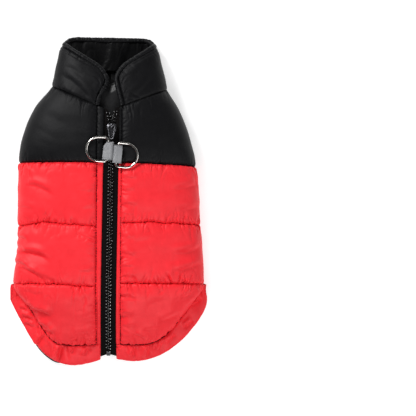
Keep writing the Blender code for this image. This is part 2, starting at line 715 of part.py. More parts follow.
def pull_tab():
    """Long frame of wire whose cross bar lies under the slider's bail."""
    at, across, ahead, up = zip_frame(TAB_AXIS_Y)
    half, corner, length = TAB_WIDTH / 2 - TAB_WIRE / 2, TAB_CORNER, TAB_LENGTH
    end = half * TAB_TAPER
    turns = ((-half, 0.0, 180), (half, 0.0, 90), (end, -length, 0), (-end, -length, -90))
    path = []
    for x, y, start in turns:
        inward_x, inward_y = -math.copysign(corner, x), (-corner if y == 0.0 else corner)
        for step in (0, 45, 90):
            angle = math.radians(start - step)
            path.append((x + inward_x + corner * math.cos(angle),
                         y + inward_y + corner * math.sin(angle)))
    base = at + up * TAB_HEIGHT
    turn = np.array([list(across), list(ahead)])
    centres = np.array(list(base)) + np.array(path) @ turn
    height = np.tile(np.array(list(up)), (len(centres), 1))
    made = sweep("pull_tab", centres, path_frame(centres, height, True), height,
                 oval_profile(TAB_WIRE, TAB_WIRE, 8), "zip_metal", True)
    set_origin(made, base)


def set_origin(made, point):
    """Put the object's origin at a point given in millimetres; the shape stays put."""
    point = Vector(point) * MM
    made.data.transform(Matrix.Translation(-point))
    made.location = point


def d_ring(name, side):
    """D-ring of round wire: bar along the webbing loop, two legs and a half-round bow."""
    x, y, tilt = RINGS_AT[side]
    bar = RING_BOW - RING_CORNER
    path = [(0.0, -bar), (0.0, 0.0), (0.0, bar)]
    for angle in (45, 90):
        a = math.radians(angle)
        path.append((RING_CORNER * (1 - math.cos(a)), bar + RING_CORNER * math.sin(a)))
    for angle in np.linspace(90, -90, 13):
        a = math.radians(angle)
        path.append((RING_LEG + RING_BOW * math.cos(a), RING_BOW * math.sin(a)))
    for angle in (90, 45):
        a = math.radians(angle)
        path.append((RING_CORNER * (1 - math.cos(a)), -bar - RING_CORNER * math.sin(a)))
    path = np.array(path) * (side, 1)
    lean = math.radians(tilt)
    turn = np.array([[math.cos(lean), math.sin(lean)], [-math.sin(lean), math.cos(lean)]])
    flat = path @ turn
    centres = np.column_stack([flat + (x, y), np.full(len(path), RING_HEIGHT)])
    up = np.tile((0.0, 0.0, 1.0), (len(centres), 1))
    made = sweep(name, centres, path_frame(centres, up, True), up,
                 oval_profile(RING_WIRE, RING_WIRE, 8), "polished_steel", True)
    set_origin(made, (x, y, RING_HEIGHT))


def webbing_loop(name, side):
    """Folded strap: out of the placket seam, round the ring's bar and back."""
    x, y, tilt = RINGS_AT[side]
    reach = RING_WIRE / 2 + SEAM_GAP
    outer = reach + WEBBING_THICK
    foot = (WEBBING_BASE[side] - x) * side
    fold = (WEBBING_FOLD[side] - x) * side + outer
    quarter = [(math.cos(a), math.sin(a)) for a in np.radians(np.linspace(90, -90, 7))]
    outside = [(foot, outer - 1.2), *((fold - outer * c, outer * s) for c, s in quarter),
               (foot, -outer)]
    inside = [(foot - 2.4, -reach), *((fold - reach * c, reach * s) for c, s in quarter[::-1])]
    outline = np.array(outside + inside) * (side, 1)
    lean = math.radians(tilt)
    along = np.array([-math.sin(lean), math.cos(lean), 0])
    right = np.array([math.cos(lean), math.sin(lean), 0])
    points = []
    for end in (-WEBBING_WIDTH / 2, WEBBING_WIDTH / 2):
        points.append(np.array([x, y, RING_HEIGHT]) + outline[:, :1] * right
                      + outline[:, 1:] * np.array([0, 0, 1]) + end * along)
    count = len(outline)
    faces = [list(range(count)), list(range(count, 2 * count))[::-1]]
    faces += [[i, (i + 1) % count, (i + 1) % count + count, i + count] for i in range(count)]
    new_object(name, np.concatenate(points), faces, "reflective_webbing")


def make_materials():
    made = {}
    for name, (red, green, blue, roughness, metallic) in COLOURS.items():
        material = bpy.data.materials.new(name)
        material.use_nodes = True
        shader = material.node_tree.nodes["Principled BSDF"]
        shader.inputs["Base Color"].default_value = (red, green, blue, 1)
        shader.inputs["Roughness"].default_value = roughness
        shader.inputs["Metallic"].default_value = metallic
        made[name] = material
    return made


for old in list(bpy.data.objects):
    bpy.data.objects.remove(old)
materials = make_materials()

for side, label in ((-1, "left"), (1, "right")):
    back_panel("yoke_" + label, side, yoke_rows(), PADDING["yoke"], "black_shell")
    for number in (1, 2):
        rows = rows_between(number + 2.0, number + 3.0, CHANNEL_ROWS)
        back_panel(f"channel_{number}_{label}", side, rows, PADDING["channel"], "red_shell")
    back_panel("channel_3_" + label, side, rows_between(5.0, 6.0, CHANNEL_ROWS),
               PADDING["channel"], "red_shell", TIP)
    hem_band("hem_band_" + label, side, rows_between(6.0, 7.0, HEM_ROWS))
    lining("lining_" + label, side)
    hem_facing("hem_facing_" + label, side)
    armhole_binding("armhole_binding_" + label, side)
    d_ring("d_ring_" + label, side)
    webbing_loop("webbing_loop_" + label, side)
belly()
collar()
collar_binding()
zip_pieces()
zip_flap()
box_on_zip("zip_stop", STOP_Y, (0, 0, -STOP_SINK), STOP_SIZE, "zip_metal", STOP_BEVEL)
slider()
pull_tab()
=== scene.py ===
# %% [markdown]
# # A padded dog vest, laid flat with its zip side up
#
# The real vest is sewn from light, shiny woven nylon over thin wadding. Its back is quilted
# in three red channels under a black yoke, its belly is one black panel, and a zip, a
# collar, two steel rings and bound armholes finish it. The CAD frame already holds every
# piece as a plain wall. This script gives each one its cloth: puffed padding, puckers along
# the seams, creases, stitches and weave. First it loads the frame and bakes each part's place into its mesh.

# %% Load the frame
import math

import bpy
import numpy as np
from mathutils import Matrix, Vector


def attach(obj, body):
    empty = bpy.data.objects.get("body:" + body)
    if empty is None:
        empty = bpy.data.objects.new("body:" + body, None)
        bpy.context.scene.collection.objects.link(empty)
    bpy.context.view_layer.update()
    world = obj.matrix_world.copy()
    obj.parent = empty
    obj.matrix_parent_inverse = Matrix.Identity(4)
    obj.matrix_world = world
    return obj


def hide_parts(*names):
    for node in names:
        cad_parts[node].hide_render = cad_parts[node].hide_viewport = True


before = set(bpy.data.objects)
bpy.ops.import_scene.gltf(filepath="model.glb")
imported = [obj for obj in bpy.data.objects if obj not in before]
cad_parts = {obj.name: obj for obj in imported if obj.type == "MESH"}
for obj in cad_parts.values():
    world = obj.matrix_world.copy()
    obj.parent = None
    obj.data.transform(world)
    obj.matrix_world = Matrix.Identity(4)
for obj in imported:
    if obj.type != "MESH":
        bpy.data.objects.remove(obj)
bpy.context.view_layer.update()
MM = 0.001

# %% [markdown]
# ## The garment as one flattened tube
#
# A vest is cut from panels, but on the table it is one flattened tube. Instead of shaping
# each panel alone, one function gives any point of that tube, and each panel is a window
# of it, so that neighbours always meet. A place is a side (-1 left of the zip, +1 right),
# t round the tube (0 zip, 1 side edge, 2 start of the flat belly, 3 mid belly) and v along
# it (0 collar top, 1 neck seam, 3 yoke seam, 4 and 5 quilt seams, 6 hem line, 7 hem edge).
# The sizes are the CAD part's own, in millimetres.

# %% Sizes of the tube
COLUMNS = ("v", "y_zip", "y_side", "y_belly", "x_left", "x_right", "z_top", "z_side",
           "corner", "bend", "slope", "sag")
RINGS = np.array([
    (0.0, 128.5, 157.0, 162.8, -45.5, 46.5, 33.0, 13.0, 15.0, 1.00, -0.020, 0.0),
    (0.5, 108.0, 134.0, 146.0, -50.5, 52.0, 40.0, 14.5, 17.0, 1.00, -0.015, 0.0),
    (1.0, 89.0, 112.0, 129.0, -56.5, 58.0, 44.5, 16.0, 19.0, 1.00, -0.030, 0.0),
    (1.5, 76.0, 91.0, 103.0, -72.5, 70.0, 47.5, 17.0, 21.0, 1.20, -0.026, 0.0),
    (2.0, 63.0, 71.0, 78.0, -82.0, 78.0, 49.5, 18.0, 22.0, 1.50, -0.022, 0.0),
    (2.5, 50.0, 52.0, 53.0, -87.5, 83.5, 50.5, 18.5, 22.0, 1.80, -0.020, 0.0),
    (3.0, 37.0, 34.5, 29.0, -89.5, 87.0, 50.5, 19.0, 22.0, 2.00, -0.020, 0.0),
    (4.0, -24.5, -25.0, -25.0, -89.5, 91.0, 49.5, 19.5, 22.0, 2.25, 0.000, 0.0),
    (5.0, -84.5, -84.2, -65.8, -95.0, 95.0, 46.0, 20.0, 22.0, 2.25, 0.000, 0.0),
    (6.0, -143.6, -84.8, -66.2, -95.0, 95.0, 17.5, 20.0, 22.0, 1.90, 0.000, 2.6),
    (7.0, -155.4, -97.0, -79.0, -98.0, 98.0, 10.0, 18.5, 22.0, 2.25, 0.000, 10.3),
])
# How full a section's top is, over the body and at the tail
SECTION_FULLNESS, TAIL_FULLNESS = 0.8, 1.0
# How late a ring bends on the belly's side, and how much later at the collar
BELLY_CURVE, COLLAR_SQUARE = 7.0, 6.0
# The way from the tail up to the side: the hem line's start, softness and bow, then the
# hem edge's two powers, and the share of the width where the hem stops sagging
HEM_LINE_RING, HEM_TURN = 6.0, {-1: (0.63, 0.06, 0.3), 1: (0.58, 0.09, 0.0)}
HEM_CUT, SAG_END = {-1: (3.6, 1.08), 1: (1.58, 1.93)}, 0.94
# The zip leans. Half widths of its tapes, of the plackets and of the flap behind it
SEAM_GAP = 0.3
ZIP_SHIFT, ZIP_LEAN = 0.9, 0.0088
TAPE_EDGE, PLACKET_EDGE, FLAP_HALF = 7.4, 12.0, 9.4
# How far its chain lies right of the plackets' middle, growing between two y
DRIFT, DRIFT_START, DRIFT_END = 2.2, -125.0, 70.0
# The side seam's distance round the edge at some rings, and how the vest is rolled over
SEAM_ARC = np.array([(1.0, 23.0), (1.65, 34.0), (3.0, 34.0), (4.0, 37.0), (5.0, 38.0), (7.0, 38.0)])
ROLL = {-1: 4.0, 1: -4.0}
ARMHOLE_MIDDLE, ARMHOLE_REACH, ARMHOLE_HALF = 2.34, 0.645, 24.5


# %% Points of the tube
def steady_curve(v, knots, values):
    """Cubic through a column's values that never swings past them: its slope at a row is
    the harmonic mean of the slopes on both sides, or nothing where they turn round."""
    step = np.diff(knots)
    slope = np.diff(values) / step
    tangent = np.zeros(len(knots))
    same = slope[:-1] * slope[1:] > 0
    both = np.where(same, slope[:-1] + slope[1:], 1.0)
    tangent[1:-1] = np.where(same, 2 * slope[:-1] * slope[1:] / both, 0.0)
    tangent[0], tangent[-1] = slope[0], slope[-1]
    i = np.clip(np.searchsorted(knots, v, side="right") - 1, 0, len(step) - 1)
    h, u = step[i], (v - knots[i]) / step[i]
    return (values[i] * (2 * u**3 - 3 * u**2 + 1) + values[i + 1] * (3 * u**2 - 2 * u**3)
            + h * tangent[i] * (u**3 - 2 * u**2 + u) + h * tangent[i + 1] * (u**3 - u**2))


def ring(v):
    """Every size of the ring at v, by name."""
    v = np.asarray(v, float)
    return {name: steady_curve(v, RINGS[:, 0], RINGS[:, k])
            for k, name in enumerate(COLUMNS) if k > 0}


def zip_x(r):
    return ZIP_SHIFT + ZIP_LEAN * r["y_zip"]


def half_width(side, r):
    return np.where(np.asarray(side) < 0, zip_x(r) - r["x_left"], r["x_right"] - zip_x(r))


def hem_turn(side, reach):
    """Share of the way up from the tail to the side: the soft ramp log(1 + exp(x)), bowed
    out a little on the left."""
    values = []
    for start, soft, bow in (HEM_TURN[-1], HEM_TURN[1]):
        rise = np.log1p(np.exp((reach - start) / soft)) / math.log1p(math.exp((1 - start) / soft))
        values.append(rise + bow * rise * (1 - rise))
    return np.where(side < 0, values[0], values[1])


def hem_cut(side, reach):
    """The same share at the hem edge: 1 - (1 - reach^a)^(1/b), left and right unlike."""
    values = [1 - np.clip(1 - reach**curve, 0, 1) ** (1 / end) for curve, end in (HEM_CUT[-1], HEM_CUT[1])]
    return np.where(side < 0, values[0], values[1])


def tube(side, t, v):
    """Seam-level point. Above: width times sine, height times cosine to a power, and a
    ring that bends from the zip to the side. At the side a quarter ellipse, then flat."""
    side, t, v = np.broadcast_arrays(side, t, v)
    r = ring(v)
    half = half_width(side, r)
    flat = half - r["corner"]
    above = np.clip(t, -1, 1) * math.pi / 2
    edge = (2 - np.clip(t, 1, 2)) * math.pi / 2
    fullness = np.where(r["z_top"] < r["z_side"], TAIL_FULLNESS, SECTION_FULLNESS)
    share, rise = np.sin(above), np.clip(np.cos(above), 0, 1) ** fullness
    reach = np.abs(share)
    turn = 1 - np.clip(1 - reach ** r["bend"], 0, 1) ** (1 / r["bend"])
    turn = np.where(v > HEM_LINE_RING, hem_cut(side, reach), turn)
    off = np.clip(np.abs(v - HEM_LINE_RING), 0, 1)
    turn += (hem_turn(side, reach) - turn) * (1 - off**2 * (3 - 2 * off))
    sag = r["sag"] * np.sin(math.pi * np.clip(reach / SAG_END, 0, 1))
    top = t <= 1
    out = np.where(top, half * share,
                   np.where(t <= 2, flat + r["corner"] * np.sin(edge), flat * (3 - t)))
    z = np.where(top, r["z_side"] + (r["z_top"] - r["z_side"]) * rise,
                 np.where(t <= 2, r["z_side"] * (1 - np.cos(edge)), 0.0))
    square = BELLY_CURVE + COLLAR_SQUARE * np.clip(1 - v, 0, 1)
    under = 1 - np.clip(np.abs(out) / half, 0, 1) ** square
    y = np.where(top, r["y_zip"] + (r["y_side"] - r["y_zip"]) * turn - sag,
                 r["y_side"] + (r["y_belly"] - r["y_side"]) * under)
    x = side * out
    return np.stack([zip_x(r) + x, y + r["slope"] * x, z], -1)


def unit(a):
    """Vectors of length 1."""
    return a / np.linalg.norm(a, axis=-1, keepdims=True)


def outward(side, t, v):
    """Unit normal: the cross product of a small step along the tube and one round it."""
    step = 0.004
    along_t = tube(side, t + step, v) - tube(side, t - step, v)
    low, high = np.clip(v - step, 0, 7), np.clip(v + step, 0, 7)
    along_v = tube(side, t, high) - tube(side, t, low)
    return unit(np.cross(along_v, along_t) * np.asarray(side)[..., None])


def place(side, t, v, depth):
    """Point at a depth inside the tube; a negative depth stands proud of it."""
    side, t, v, depth = (np.array(a, float) for a in np.broadcast_arrays(side, t, v, depth))
    return tube(side, t, v) - outward(side, t, v) * depth[..., None]


# %% Places along the seams
def t_from_zip(side, v, distance):
    """t at a distance across from the zip's centre line."""
    return np.arcsin(distance / half_width(side, ring(v))) / (math.pi / 2)


def t_from_edge(side, v, arc):
    """t at a distance from the side edge, measured round under the garment."""
    r = ring(v)
    bend = math.pi / 2 * np.sqrt((r["corner"] ** 2 + r["z_side"] ** 2) / 2)
    return np.where(arc < bend, 1 + arc / bend, 2 + (arc - bend) / (half_width(side, r) - r["corner"]))


def drift(v):
    """How far the zip's chain lies to the right of the placket's middle."""
    return DRIFT * np.clip((ring(v)["y_zip"] - DRIFT_START) / (DRIFT_END - DRIFT_START), 0, 1)


def armhole_bulge(v, grow=0.0):
    """Half width of the armhole's oval at ring v."""
    share = (v - ARMHOLE_MIDDLE) / (ARMHOLE_REACH * (1 + grow / ARMHOLE_HALF))
    return (ARMHOLE_HALF + grow) * np.sqrt(np.clip(1 - share**2, 0, 1))


def seam_arc(side, v):
    return np.interp(v, SEAM_ARC[:, 0], SEAM_ARC[:, 1]) + ROLL[side]


def back_edge(side, v, grow=0.0):
    return t_from_edge(side, v, seam_arc(side, v) - armhole_bulge(v, grow) - SEAM_GAP / 2)


def belly_edge(side, v):
    return t_from_edge(side, v, seam_arc(side, v) + armhole_bulge(v) + SEAM_GAP / 2)


middle_back = np.linalg.norm(tube(1, 0.3, 5.9) - tube(1, 0.3, 1.1))
print("tube from neck to hem line, mm, about", round(float(middle_back)))

# %% [markdown]
# ## Turning a grid into a mesh
#
# Every piece below is an array of points with two indices. One builder turns such a grid
# into a closed mesh and keeps a flat copy of it, in millimetres of cloth, as a UV map. The
# weave, the ribs and the threads read that map, so they follow the cloth round its bends.


# %% Faces of a grid
def grid_faces(rows, columns, close_rows=False, close_columns=False):
    """Quads between neighbours: number i, j is i * columns + j, and a closed way wraps."""
    i, j = np.meshgrid(np.arange(rows - (not close_rows)), np.arange(columns - (not close_columns)),
                       indexing="ij")
    down, right = (i + 1) % rows, (j + 1) % columns
    return np.stack([i * columns + j, i * columns + right, down * columns + right,
                     down * columns + j], -1).reshape(-1, 4)


def turn_outward(points, faces, caps):
    """Faces turned round if the closed solid's signed volume comes out negative."""
    p = points.reshape(-1, 3)
    a, b, c, d = (p[faces[:, k]] for k in range(4))
    volume = np.sum(a * np.cross(b, c)) + np.sum(a * np.cross(c, d))
    for cap in caps:
        rim = p[list(cap[1:])]
        volume += np.sum(np.cross(rim[:-1], rim[1:]) @ p[cap[0]])
    if volume < 0:
        return faces[:, ::-1], [cap[::-1] for cap in caps]
    return faces, caps


def tube_faces(points, closed=False):
    """Faces round and along rings of points. A tube that isn't closed has a cap at each end."""
    count, turns = points.shape[:2]
    last = (count - 1) * turns
    caps = [] if closed else [list(range(turns)), list(range(last, last + turns))[::-1]]
    return turn_outward(points, grid_faces(count, turns, closed, True), caps)


# %% Grid to object
def make_mesh(name, points, faces, caps, material, uv=None, body="vest"):
    """Smooth mesh object at the origin from points in millimetres, riding on its body."""
    mesh = bpy.data.meshes.new(name)
    mesh.from_pydata((points.reshape(-1, 3) * MM).tolist(), [], faces.tolist() + [list(c) for c in caps])
    if uv is not None:
        corner = np.empty(len(mesh.loops), int)
        mesh.loops.foreach_get("vertex_index", corner)
        flat = uv.reshape(-1, 2)[corner] * MM
        mesh.uv_layers.new(name="cloth").data.foreach_set("uv", flat.ravel())
    mesh.shade_smooth()
    mesh.materials.append(material)
    made = bpy.data.objects.new(name, mesh)
    bpy.context.scene.collection.objects.link(made)
    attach(made, body)
    return made


def cloth_map(points):
    """Flat millimetres: distance run across along the columns, and down along the rows."""
    across = np.linalg.norm(np.diff(points, axis=1), axis=-1)
    down = np.linalg.norm(np.diff(points, axis=0), axis=-1)
    a = np.concatenate([np.zeros((len(points), 1)), np.cumsum(across, 1)], 1)
    b = np.concatenate([np.zeros((1, points.shape[1])), np.cumsum(down, 0)], 0)
    return a, b


def closed_pad(name, outer, inner, flat, material, lining=None):
    """Outer rows run on into a few inner rows and back: a closed sleeve with two capped
    ends. The faces behind the outer rows can have a lining of their own."""
    points, uv = np.concatenate([outer, inner[::-1]]), np.stack(flat, -1)
    back = uv[np.linspace(len(uv) - 1, 0, len(inner)).round().astype(int)]
    rows, columns = points.shape[:2]
    first = np.arange(rows) * columns
    caps = [first.tolist(), (first + columns - 1)[::-1].tolist()]
    faces, caps = turn_outward(points, grid_faces(rows, columns, close_rows=True), caps)
    made = make_mesh(name, points, faces, caps, material, np.concatenate([uv, back]))
    if lining:
        made.data.materials.append(lining)
        behind = np.arange(len(made.data.polygons)) >= (len(outer) - 1) * (columns - 1)
        made.data.polygons.foreach_set("material_index", behind.astype(np.int32))
    return made


# %% Sweeps and what a piece stands for
def run_along(points):
    """Distance run along a line of points."""
    return np.concatenate([[0], np.cumsum(np.linalg.norm(np.diff(points, axis=0), axis=1))])


def sweep(name, centres, across, up, profile, material, closed=False, body="vest"):
    """Profile of offsets (across, up) in millimetres, one for all points of a path or one
    for each, carried along the path. Only an open one gets a flat copy."""
    profile = np.broadcast_to(profile, (len(centres), *profile.shape[-2:]))
    points = centres[:, None] + profile[..., :1] * across[:, None] + profile[..., 1:] * up[:, None]
    flat = None if closed else np.stack(np.meshgrid(run_along(profile[0]), run_along(centres)), -1)
    return make_mesh(name, points, *tube_faces(points, closed), material, flat, body)


def across_path(centres, up, closed=False):
    """Direction across a path, square to it and to up."""
    ahead = np.roll(centres, -1, 0) - np.roll(centres, 1, 0)
    if not closed:
        ahead[0], ahead[-1] = centres[1] - centres[0], centres[-1] - centres[-2]
    return unit(np.cross(ahead, up))


def oval(width, height, sides):
    """Points round an ellipse."""
    angle = np.linspace(0, 2 * math.pi, sides, endpoint=False)
    return np.stack([width / 2 * np.cos(angle), height / 2 * np.sin(angle)], 1)


def stand_for(piece, node):
    """Hides the node of the frame that a piece stands in for."""
    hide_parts(node)


# %% [markdown]
# ## Uneven cloth
#
# Cloth is never regular, so three small functions serve every panel. A soft noise gives
# slow waves. Puckers are what a seam does to cloth that is fed in slightly full: rounded
# bumps with sharp valleys between, roughly square to the seam, that die away within a few
# millimetres. Creases are single folds, listed one by one where the real vest has them.


# %% Noise, puckers and creases
NOISE_TABLE = np.random.default_rng(7).uniform(-1, 1, (64, 256, 256))


def noise(x, y, layer):
    """Soft noise from -1 to 1: random numbers on a lattice, eased between its points."""
    x, y = np.broadcast_arrays(np.asarray(x, float), np.asarray(y, float))
    i, j = np.floor(x).astype(int), np.floor(y).astype(int)
    fx, fy = x - i, y - j
    ex, ey = fx * fx * (3 - 2 * fx), fy * fy * (3 - 2 * fy)
    table = NOISE_TABLE[layer]
    corner = lambda p, q: table[(i + p) % 256, (j + q) % 256]
    return ((corner(0, 0) * (1 - ex) + corner(1, 0) * ex) * (1 - ey)
            + (corner(0, 1) * (1 - ex) + corner(1, 1) * ex) * ey)


def puckers(along, away, layer, spacing=2.6, reach=4.5, height=1.9):
    """Rounded bumps with a sharp valley at each zero of the noise along a seam. A valley's
    depth is exp(-|noise| / 0.22), and each dies away over its own reach and leans its own
    way. A second, broader set reaches twice as far."""
    slant = (along + 0.5 * away * noise(along / 9, 0.0, layer + 1)
             + 0.9 * noise(along / 5, away / 4, layer + 2))
    sharp = np.exp(-np.abs(noise(slant / spacing, away / 15, layer)) / 0.22)
    broad = np.exp(-np.abs(noise(slant / (spacing * 2.3) + 31, away / 20, layer + 2)) / 0.25)
    own_reach = reach * np.exp(0.9 * noise(along / 3.7, 3.0, layer + 3))
    strength = 1.0 + 0.7 * noise(along / 14, 7.0, layer + 1)
    return -height * strength * (np.exp(-(away / own_reach) ** 1.5) * (sharp - 0.25)
                                 + 0.7 * np.exp(-(away / (2.0 * own_reach)) ** 1.5) * (broad - 0.25))


def smooth_step(x):
    x = np.clip(x, 0, 1)
    return x * x * (3 - 2 * x)


def pillow(away, radius):
    """Rise of padding from its seam: a quarter circle from 0 to 1 over the radius."""
    return np.sqrt(1 - np.clip(1 - away / radius, 0, 1) ** 2)


def creases(points, table):
    """Fold along each segment, written from left to right: a ridge above it, a steep fall
    to the valley, and a slow rise exp(-away / width) below. It bows by a share of its length."""
    height = np.zeros(points.shape[:-1])
    x, y = points[..., 0], points[..., 1]
    for x0, y0, x1, y1, width, depth, bow in table:
        length = math.hypot(x1 - x0, y1 - y0)
        ahead = ((x - x0) * (x1 - x0) + (y - y0) * (y1 - y0)) / length**2
        wander = bow * length * np.sin(math.pi * np.clip(ahead, 0, 1)) + 0.5 * noise(x / 6, y / 6, 50)
        away = ((x - x0) * (y1 - y0) - (y - y0) * (x1 - x0)) / length + wander
        inside = smooth_step(ahead / 0.35) * smooth_step((1 - ahead) / 0.35)
        fold = np.exp(-np.where(away < 0, (away / width) ** 2, np.abs(away) / (2.0 * width)))
        ridge = np.exp(-((away + 2.4 * width) / (1.5 * width)) ** 2)
        height += depth * inside * (0.8 * ridge - fold)
    return height


print("noise layers", NOISE_TABLE.shape)

# %% [markdown]
# ## Cloth finishes
#
# The shell is nylon taffeta: fine round threads, calendered flat, which gives a broad soft
# sheen rather than a shine. A real thread is a tenth of a millimetre, too fine to show, so
# the weave is drawn at about half a millimetre. Each finish takes its weave from the UV map
# of flat cloth and its slow unevenness from object coordinates, both in real sizes.


def linear(code):
    """Linear colour from an sRGB hex code."""
    part = np.array([int(code[k:k + 2], 16) / 255 for k in (1, 3, 5)])
    value = np.where(part <= 0.04045, part / 12.92, ((part + 0.055) / 1.055) ** 2.4)
    return (*value.tolist(), 1.0)


def add(tree, kind, inputs=None, **properties):
    """Adds a node, sets its properties, and sets or links each named or numbered input."""
    made = tree.nodes.new(kind)
    for name, value in properties.items():
        setattr(made, name, value)
    for name, value in (inputs or {}).items():
        if isinstance(value, bpy.types.NodeSocket):
            tree.links.new(value, made.inputs[name])
        else:
            made.inputs[name].default_value = value
    return made


def new_material(name, slot, **sockets):
    """Material whose shader's plain sockets are set here; returns its tree and shader too."""
    made = bpy.data.materials.new(name)
    made.use_nodes = True
    shader = made.node_tree.nodes["Principled BSDF"]
    for socket, value in sockets.items():
        shader.inputs[socket.replace("_", " ")].default_value = value
    return made, made.node_tree, shader


# %% Woven cloth
FINE_CRINKLE, SLOW_CRINKLE, MOTTLE = 2.5, 9, 0.5


def cloth(name, slot, colour, shade, thread=0.55, weave=0.10, crinkle=0.25, **sockets):
    """Woven cloth. Threads: the product of two sine waves across and along the cloth, which
    stands up where a thread passes over. Crinkle: noise of 2.5 mm and 9 mm. Colour: a mix
    of two hex codes by the slow noise, so that no patch is quite the same."""
    made, tree, shader = new_material(name, slot, **sockets)
    flat = add(tree, "ShaderNodeUVMap", uv_map="cloth").outputs["UV"]
    turns = 2 * math.pi / (thread * MM)
    scaled = add(tree, "ShaderNodeVectorMath", {0: flat, 1: (turns, turns, 0)}, operation="MULTIPLY")
    way = add(tree, "ShaderNodeSeparateXYZ", {0: scaled.outputs[0]}).outputs
    warp, weft = (add(tree, "ShaderNodeMath", {0: way[axis]}, operation="SINE").outputs[0]
                  for axis in ("X", "Y"))
    threads = add(tree, "ShaderNodeMath", {0: warp, 1: weft}, operation="MULTIPLY").outputs[0]
    place_on = add(tree, "ShaderNodeTexCoord").outputs["Object"]
    fine, slow = (add(tree, "ShaderNodeTexNoise", {"Vector": place_on, "Scale": 1 / (size * MM),
                                                   "Detail": 3.0, "Roughness": rough}).outputs["Fac"]
                  for size, rough in ((FINE_CRINKLE, 0.55), (SLOW_CRINKLE, 0.6)))
    shift = add(tree, "ShaderNodeMapRange", {"Value": slow, "From Min": 0.5 - MOTTLE / 2,
                                             "From Max": 0.5 + MOTTLE / 2}).outputs["Result"]
    tint = add(tree, "ShaderNodeMix", {0: shift, 6: linear(shade), 7: linear(colour)}, data_type="RGBA")
    tree.links.new(tint.outputs[2], shader.inputs["Base Color"])
    bump = {}
    for height, strength, reach in ((slow, crinkle * 0.5, 1.0), (fine, crinkle, 0.35), (threads, weave, 0.1)):
        bump.update({"Height": height, "Strength": strength, "Distance": reach * MM})
        bump["Normal"] = add(tree, "ShaderNodeBump", bump).outputs[0]
    tree.links.new(bump["Normal"], shader.inputs["Normal"])
    return made


# %% Cloths of the vest
# Calendered nylon: an even colour with a low sheen, paler where it turns from the eye
red_nylon = cloth("red_nylon_taffeta", "red_shell", "#f02b34", "#e6242d", Roughness=0.50,
                  Specular_IOR_Level=0.22, Sheen_Weight=0.03, Sheen_Roughness=0.45,
                  Sheen_Tint=linear("#ff7a7a"))
# The same cloth in black: the eye sees only the light along its rounded folds
black_nylon = cloth("black_nylon_taffeta", "black_shell", "#0e0e10", "#09090b", Roughness=0.52,
                    Specular_IOR_Level=0.13, Sheen_Weight=0.01, Sheen_Roughness=0.4)
# Satin, woven in long floats: smoother, so its folds carry narrower, brighter lights
black_satin = cloth("black_satin_belly", "black_lining", "#111112", "#0a0a0b", crinkle=0.35, Roughness=0.38,
                    Specular_IOR_Level=0.45, Sheen_Weight=0.02, Sheen_Roughness=0.35)
# Unpressed lining: black cloth, painted darker than the shell as painted shade inside the neck, collar, belly
# and tail, with a dry crinkle
black_lining = cloth("black_taffeta_lining", "black_lining", "#080809", "#040405", crinkle=0.4,
                     Roughness=0.45, Specular_IOR_Level=0.12)
# The flap's pressed lining: smooth, so that it shines grey in the open neck
flap_lining = cloth("grey_sheen_flap", "black_lining", "#0e0e10", "#09090a", crinkle=0.15, Roughness=0.42,
                    Specular_IOR_Level=0.34, Sheen_Weight=0.02, Sheen_Roughness=0.4)
# Twill of thick dull yarn: no shine, and ribs that can be seen
tape_twill = cloth("polyester_zip_tape", "zip_tape", "#0d0a0a", "#080606", thread=0.8, weave=0.7,
                   crinkle=0.05, Roughness=0.85, Specular_IOR_Level=0.08, Sheen_Weight=0.01)
# Webbing coated with tiny glass beads: a grey that stays light from every side
webbing = cloth("grey_reflective_webbing", "reflective_webbing", "#8b8c8e", "#75767a", thread=0.9,
                weave=0.6, crinkle=0.08, Roughness=0.42, Specular_IOR_Level=0.7, Sheen_Weight=0.3,
                Sheen_Roughness=0.3)
# Brushed knit: quite matt, with a paler fuzz at its edges
fleece = cloth("black_polar_fleece", "black_fleece", "#0b0b0b", "#050505", thread=0.7, weave=0.6,
               crinkle=1.0, Roughness=1.0, Specular_IOR_Level=0.1, Sheen_Weight=0.5, Sheen_Roughness=0.6)
print("cloths", len(bpy.data.materials))

# %% [markdown]
# ## Hard finishes
#
# The zip's teeth are moulded acetal, dark and slightly waxy. The slider, its tab and the
# bottom stop are cast zinc alloy under a dark plating, lighter and duller on the tab and the
# stop. The rings are bent from steel wire, welded, polished and nickel plated, which reflects
# the red cloth and the pale room almost like a mirror. The threads are spun polyester.


# %% Teeth, cast metal, plated wire and thread
def worn(name, slot, colour, rubbed, grain=1.2, strength=0.08, rough=(0.25, 0.45), **sockets):
    """Hard finish: two colours mixed by a fine noise, whose grain is in millimetres, and a
    roughness that varies with it."""
    made, tree, shader = new_material(name, slot, **sockets)
    place_on = add(tree, "ShaderNodeTexCoord").outputs["Object"]
    patches = add(tree, "ShaderNodeTexNoise", {"Vector": place_on, "Scale": 1 / (grain * MM),
                                               "Detail": 4.0}).outputs["Fac"]
    tint = add(tree, "ShaderNodeMix", {0: patches, 6: linear(colour), 7: linear(rubbed)}, data_type="RGBA")
    gloss = add(tree, "ShaderNodeMapRange", {"Value": patches, "To Min": rough[0], "To Max": rough[1]})
    bump = add(tree, "ShaderNodeBump", {"Height": patches, "Strength": strength, "Distance": 0.1 * MM})
    tree.links.new(tint.outputs[2], shader.inputs["Base Color"])
    tree.links.new(gloss.outputs["Result"], shader.inputs["Roughness"])
    tree.links.new(bump.outputs[0], shader.inputs["Normal"])
    return made


# Moulded smooth: each tooth has one small sharp glint
tooth_acetal = worn("moulded_acetal_teeth", "zip_teeth", "#070708", "#0d0d0e", rough=(0.14, 0.22),
                    Specular_IOR_Level=1.0, Coat_Weight=0.7, Coat_Roughness=0.15)
# Plated casting: a dark, slightly blurred mirror
dark_zinc = worn("dark_plated_zinc", "zip_metal", "#4c4c50", "#727276", rough=(0.18, 0.35), Metallic=1.0)
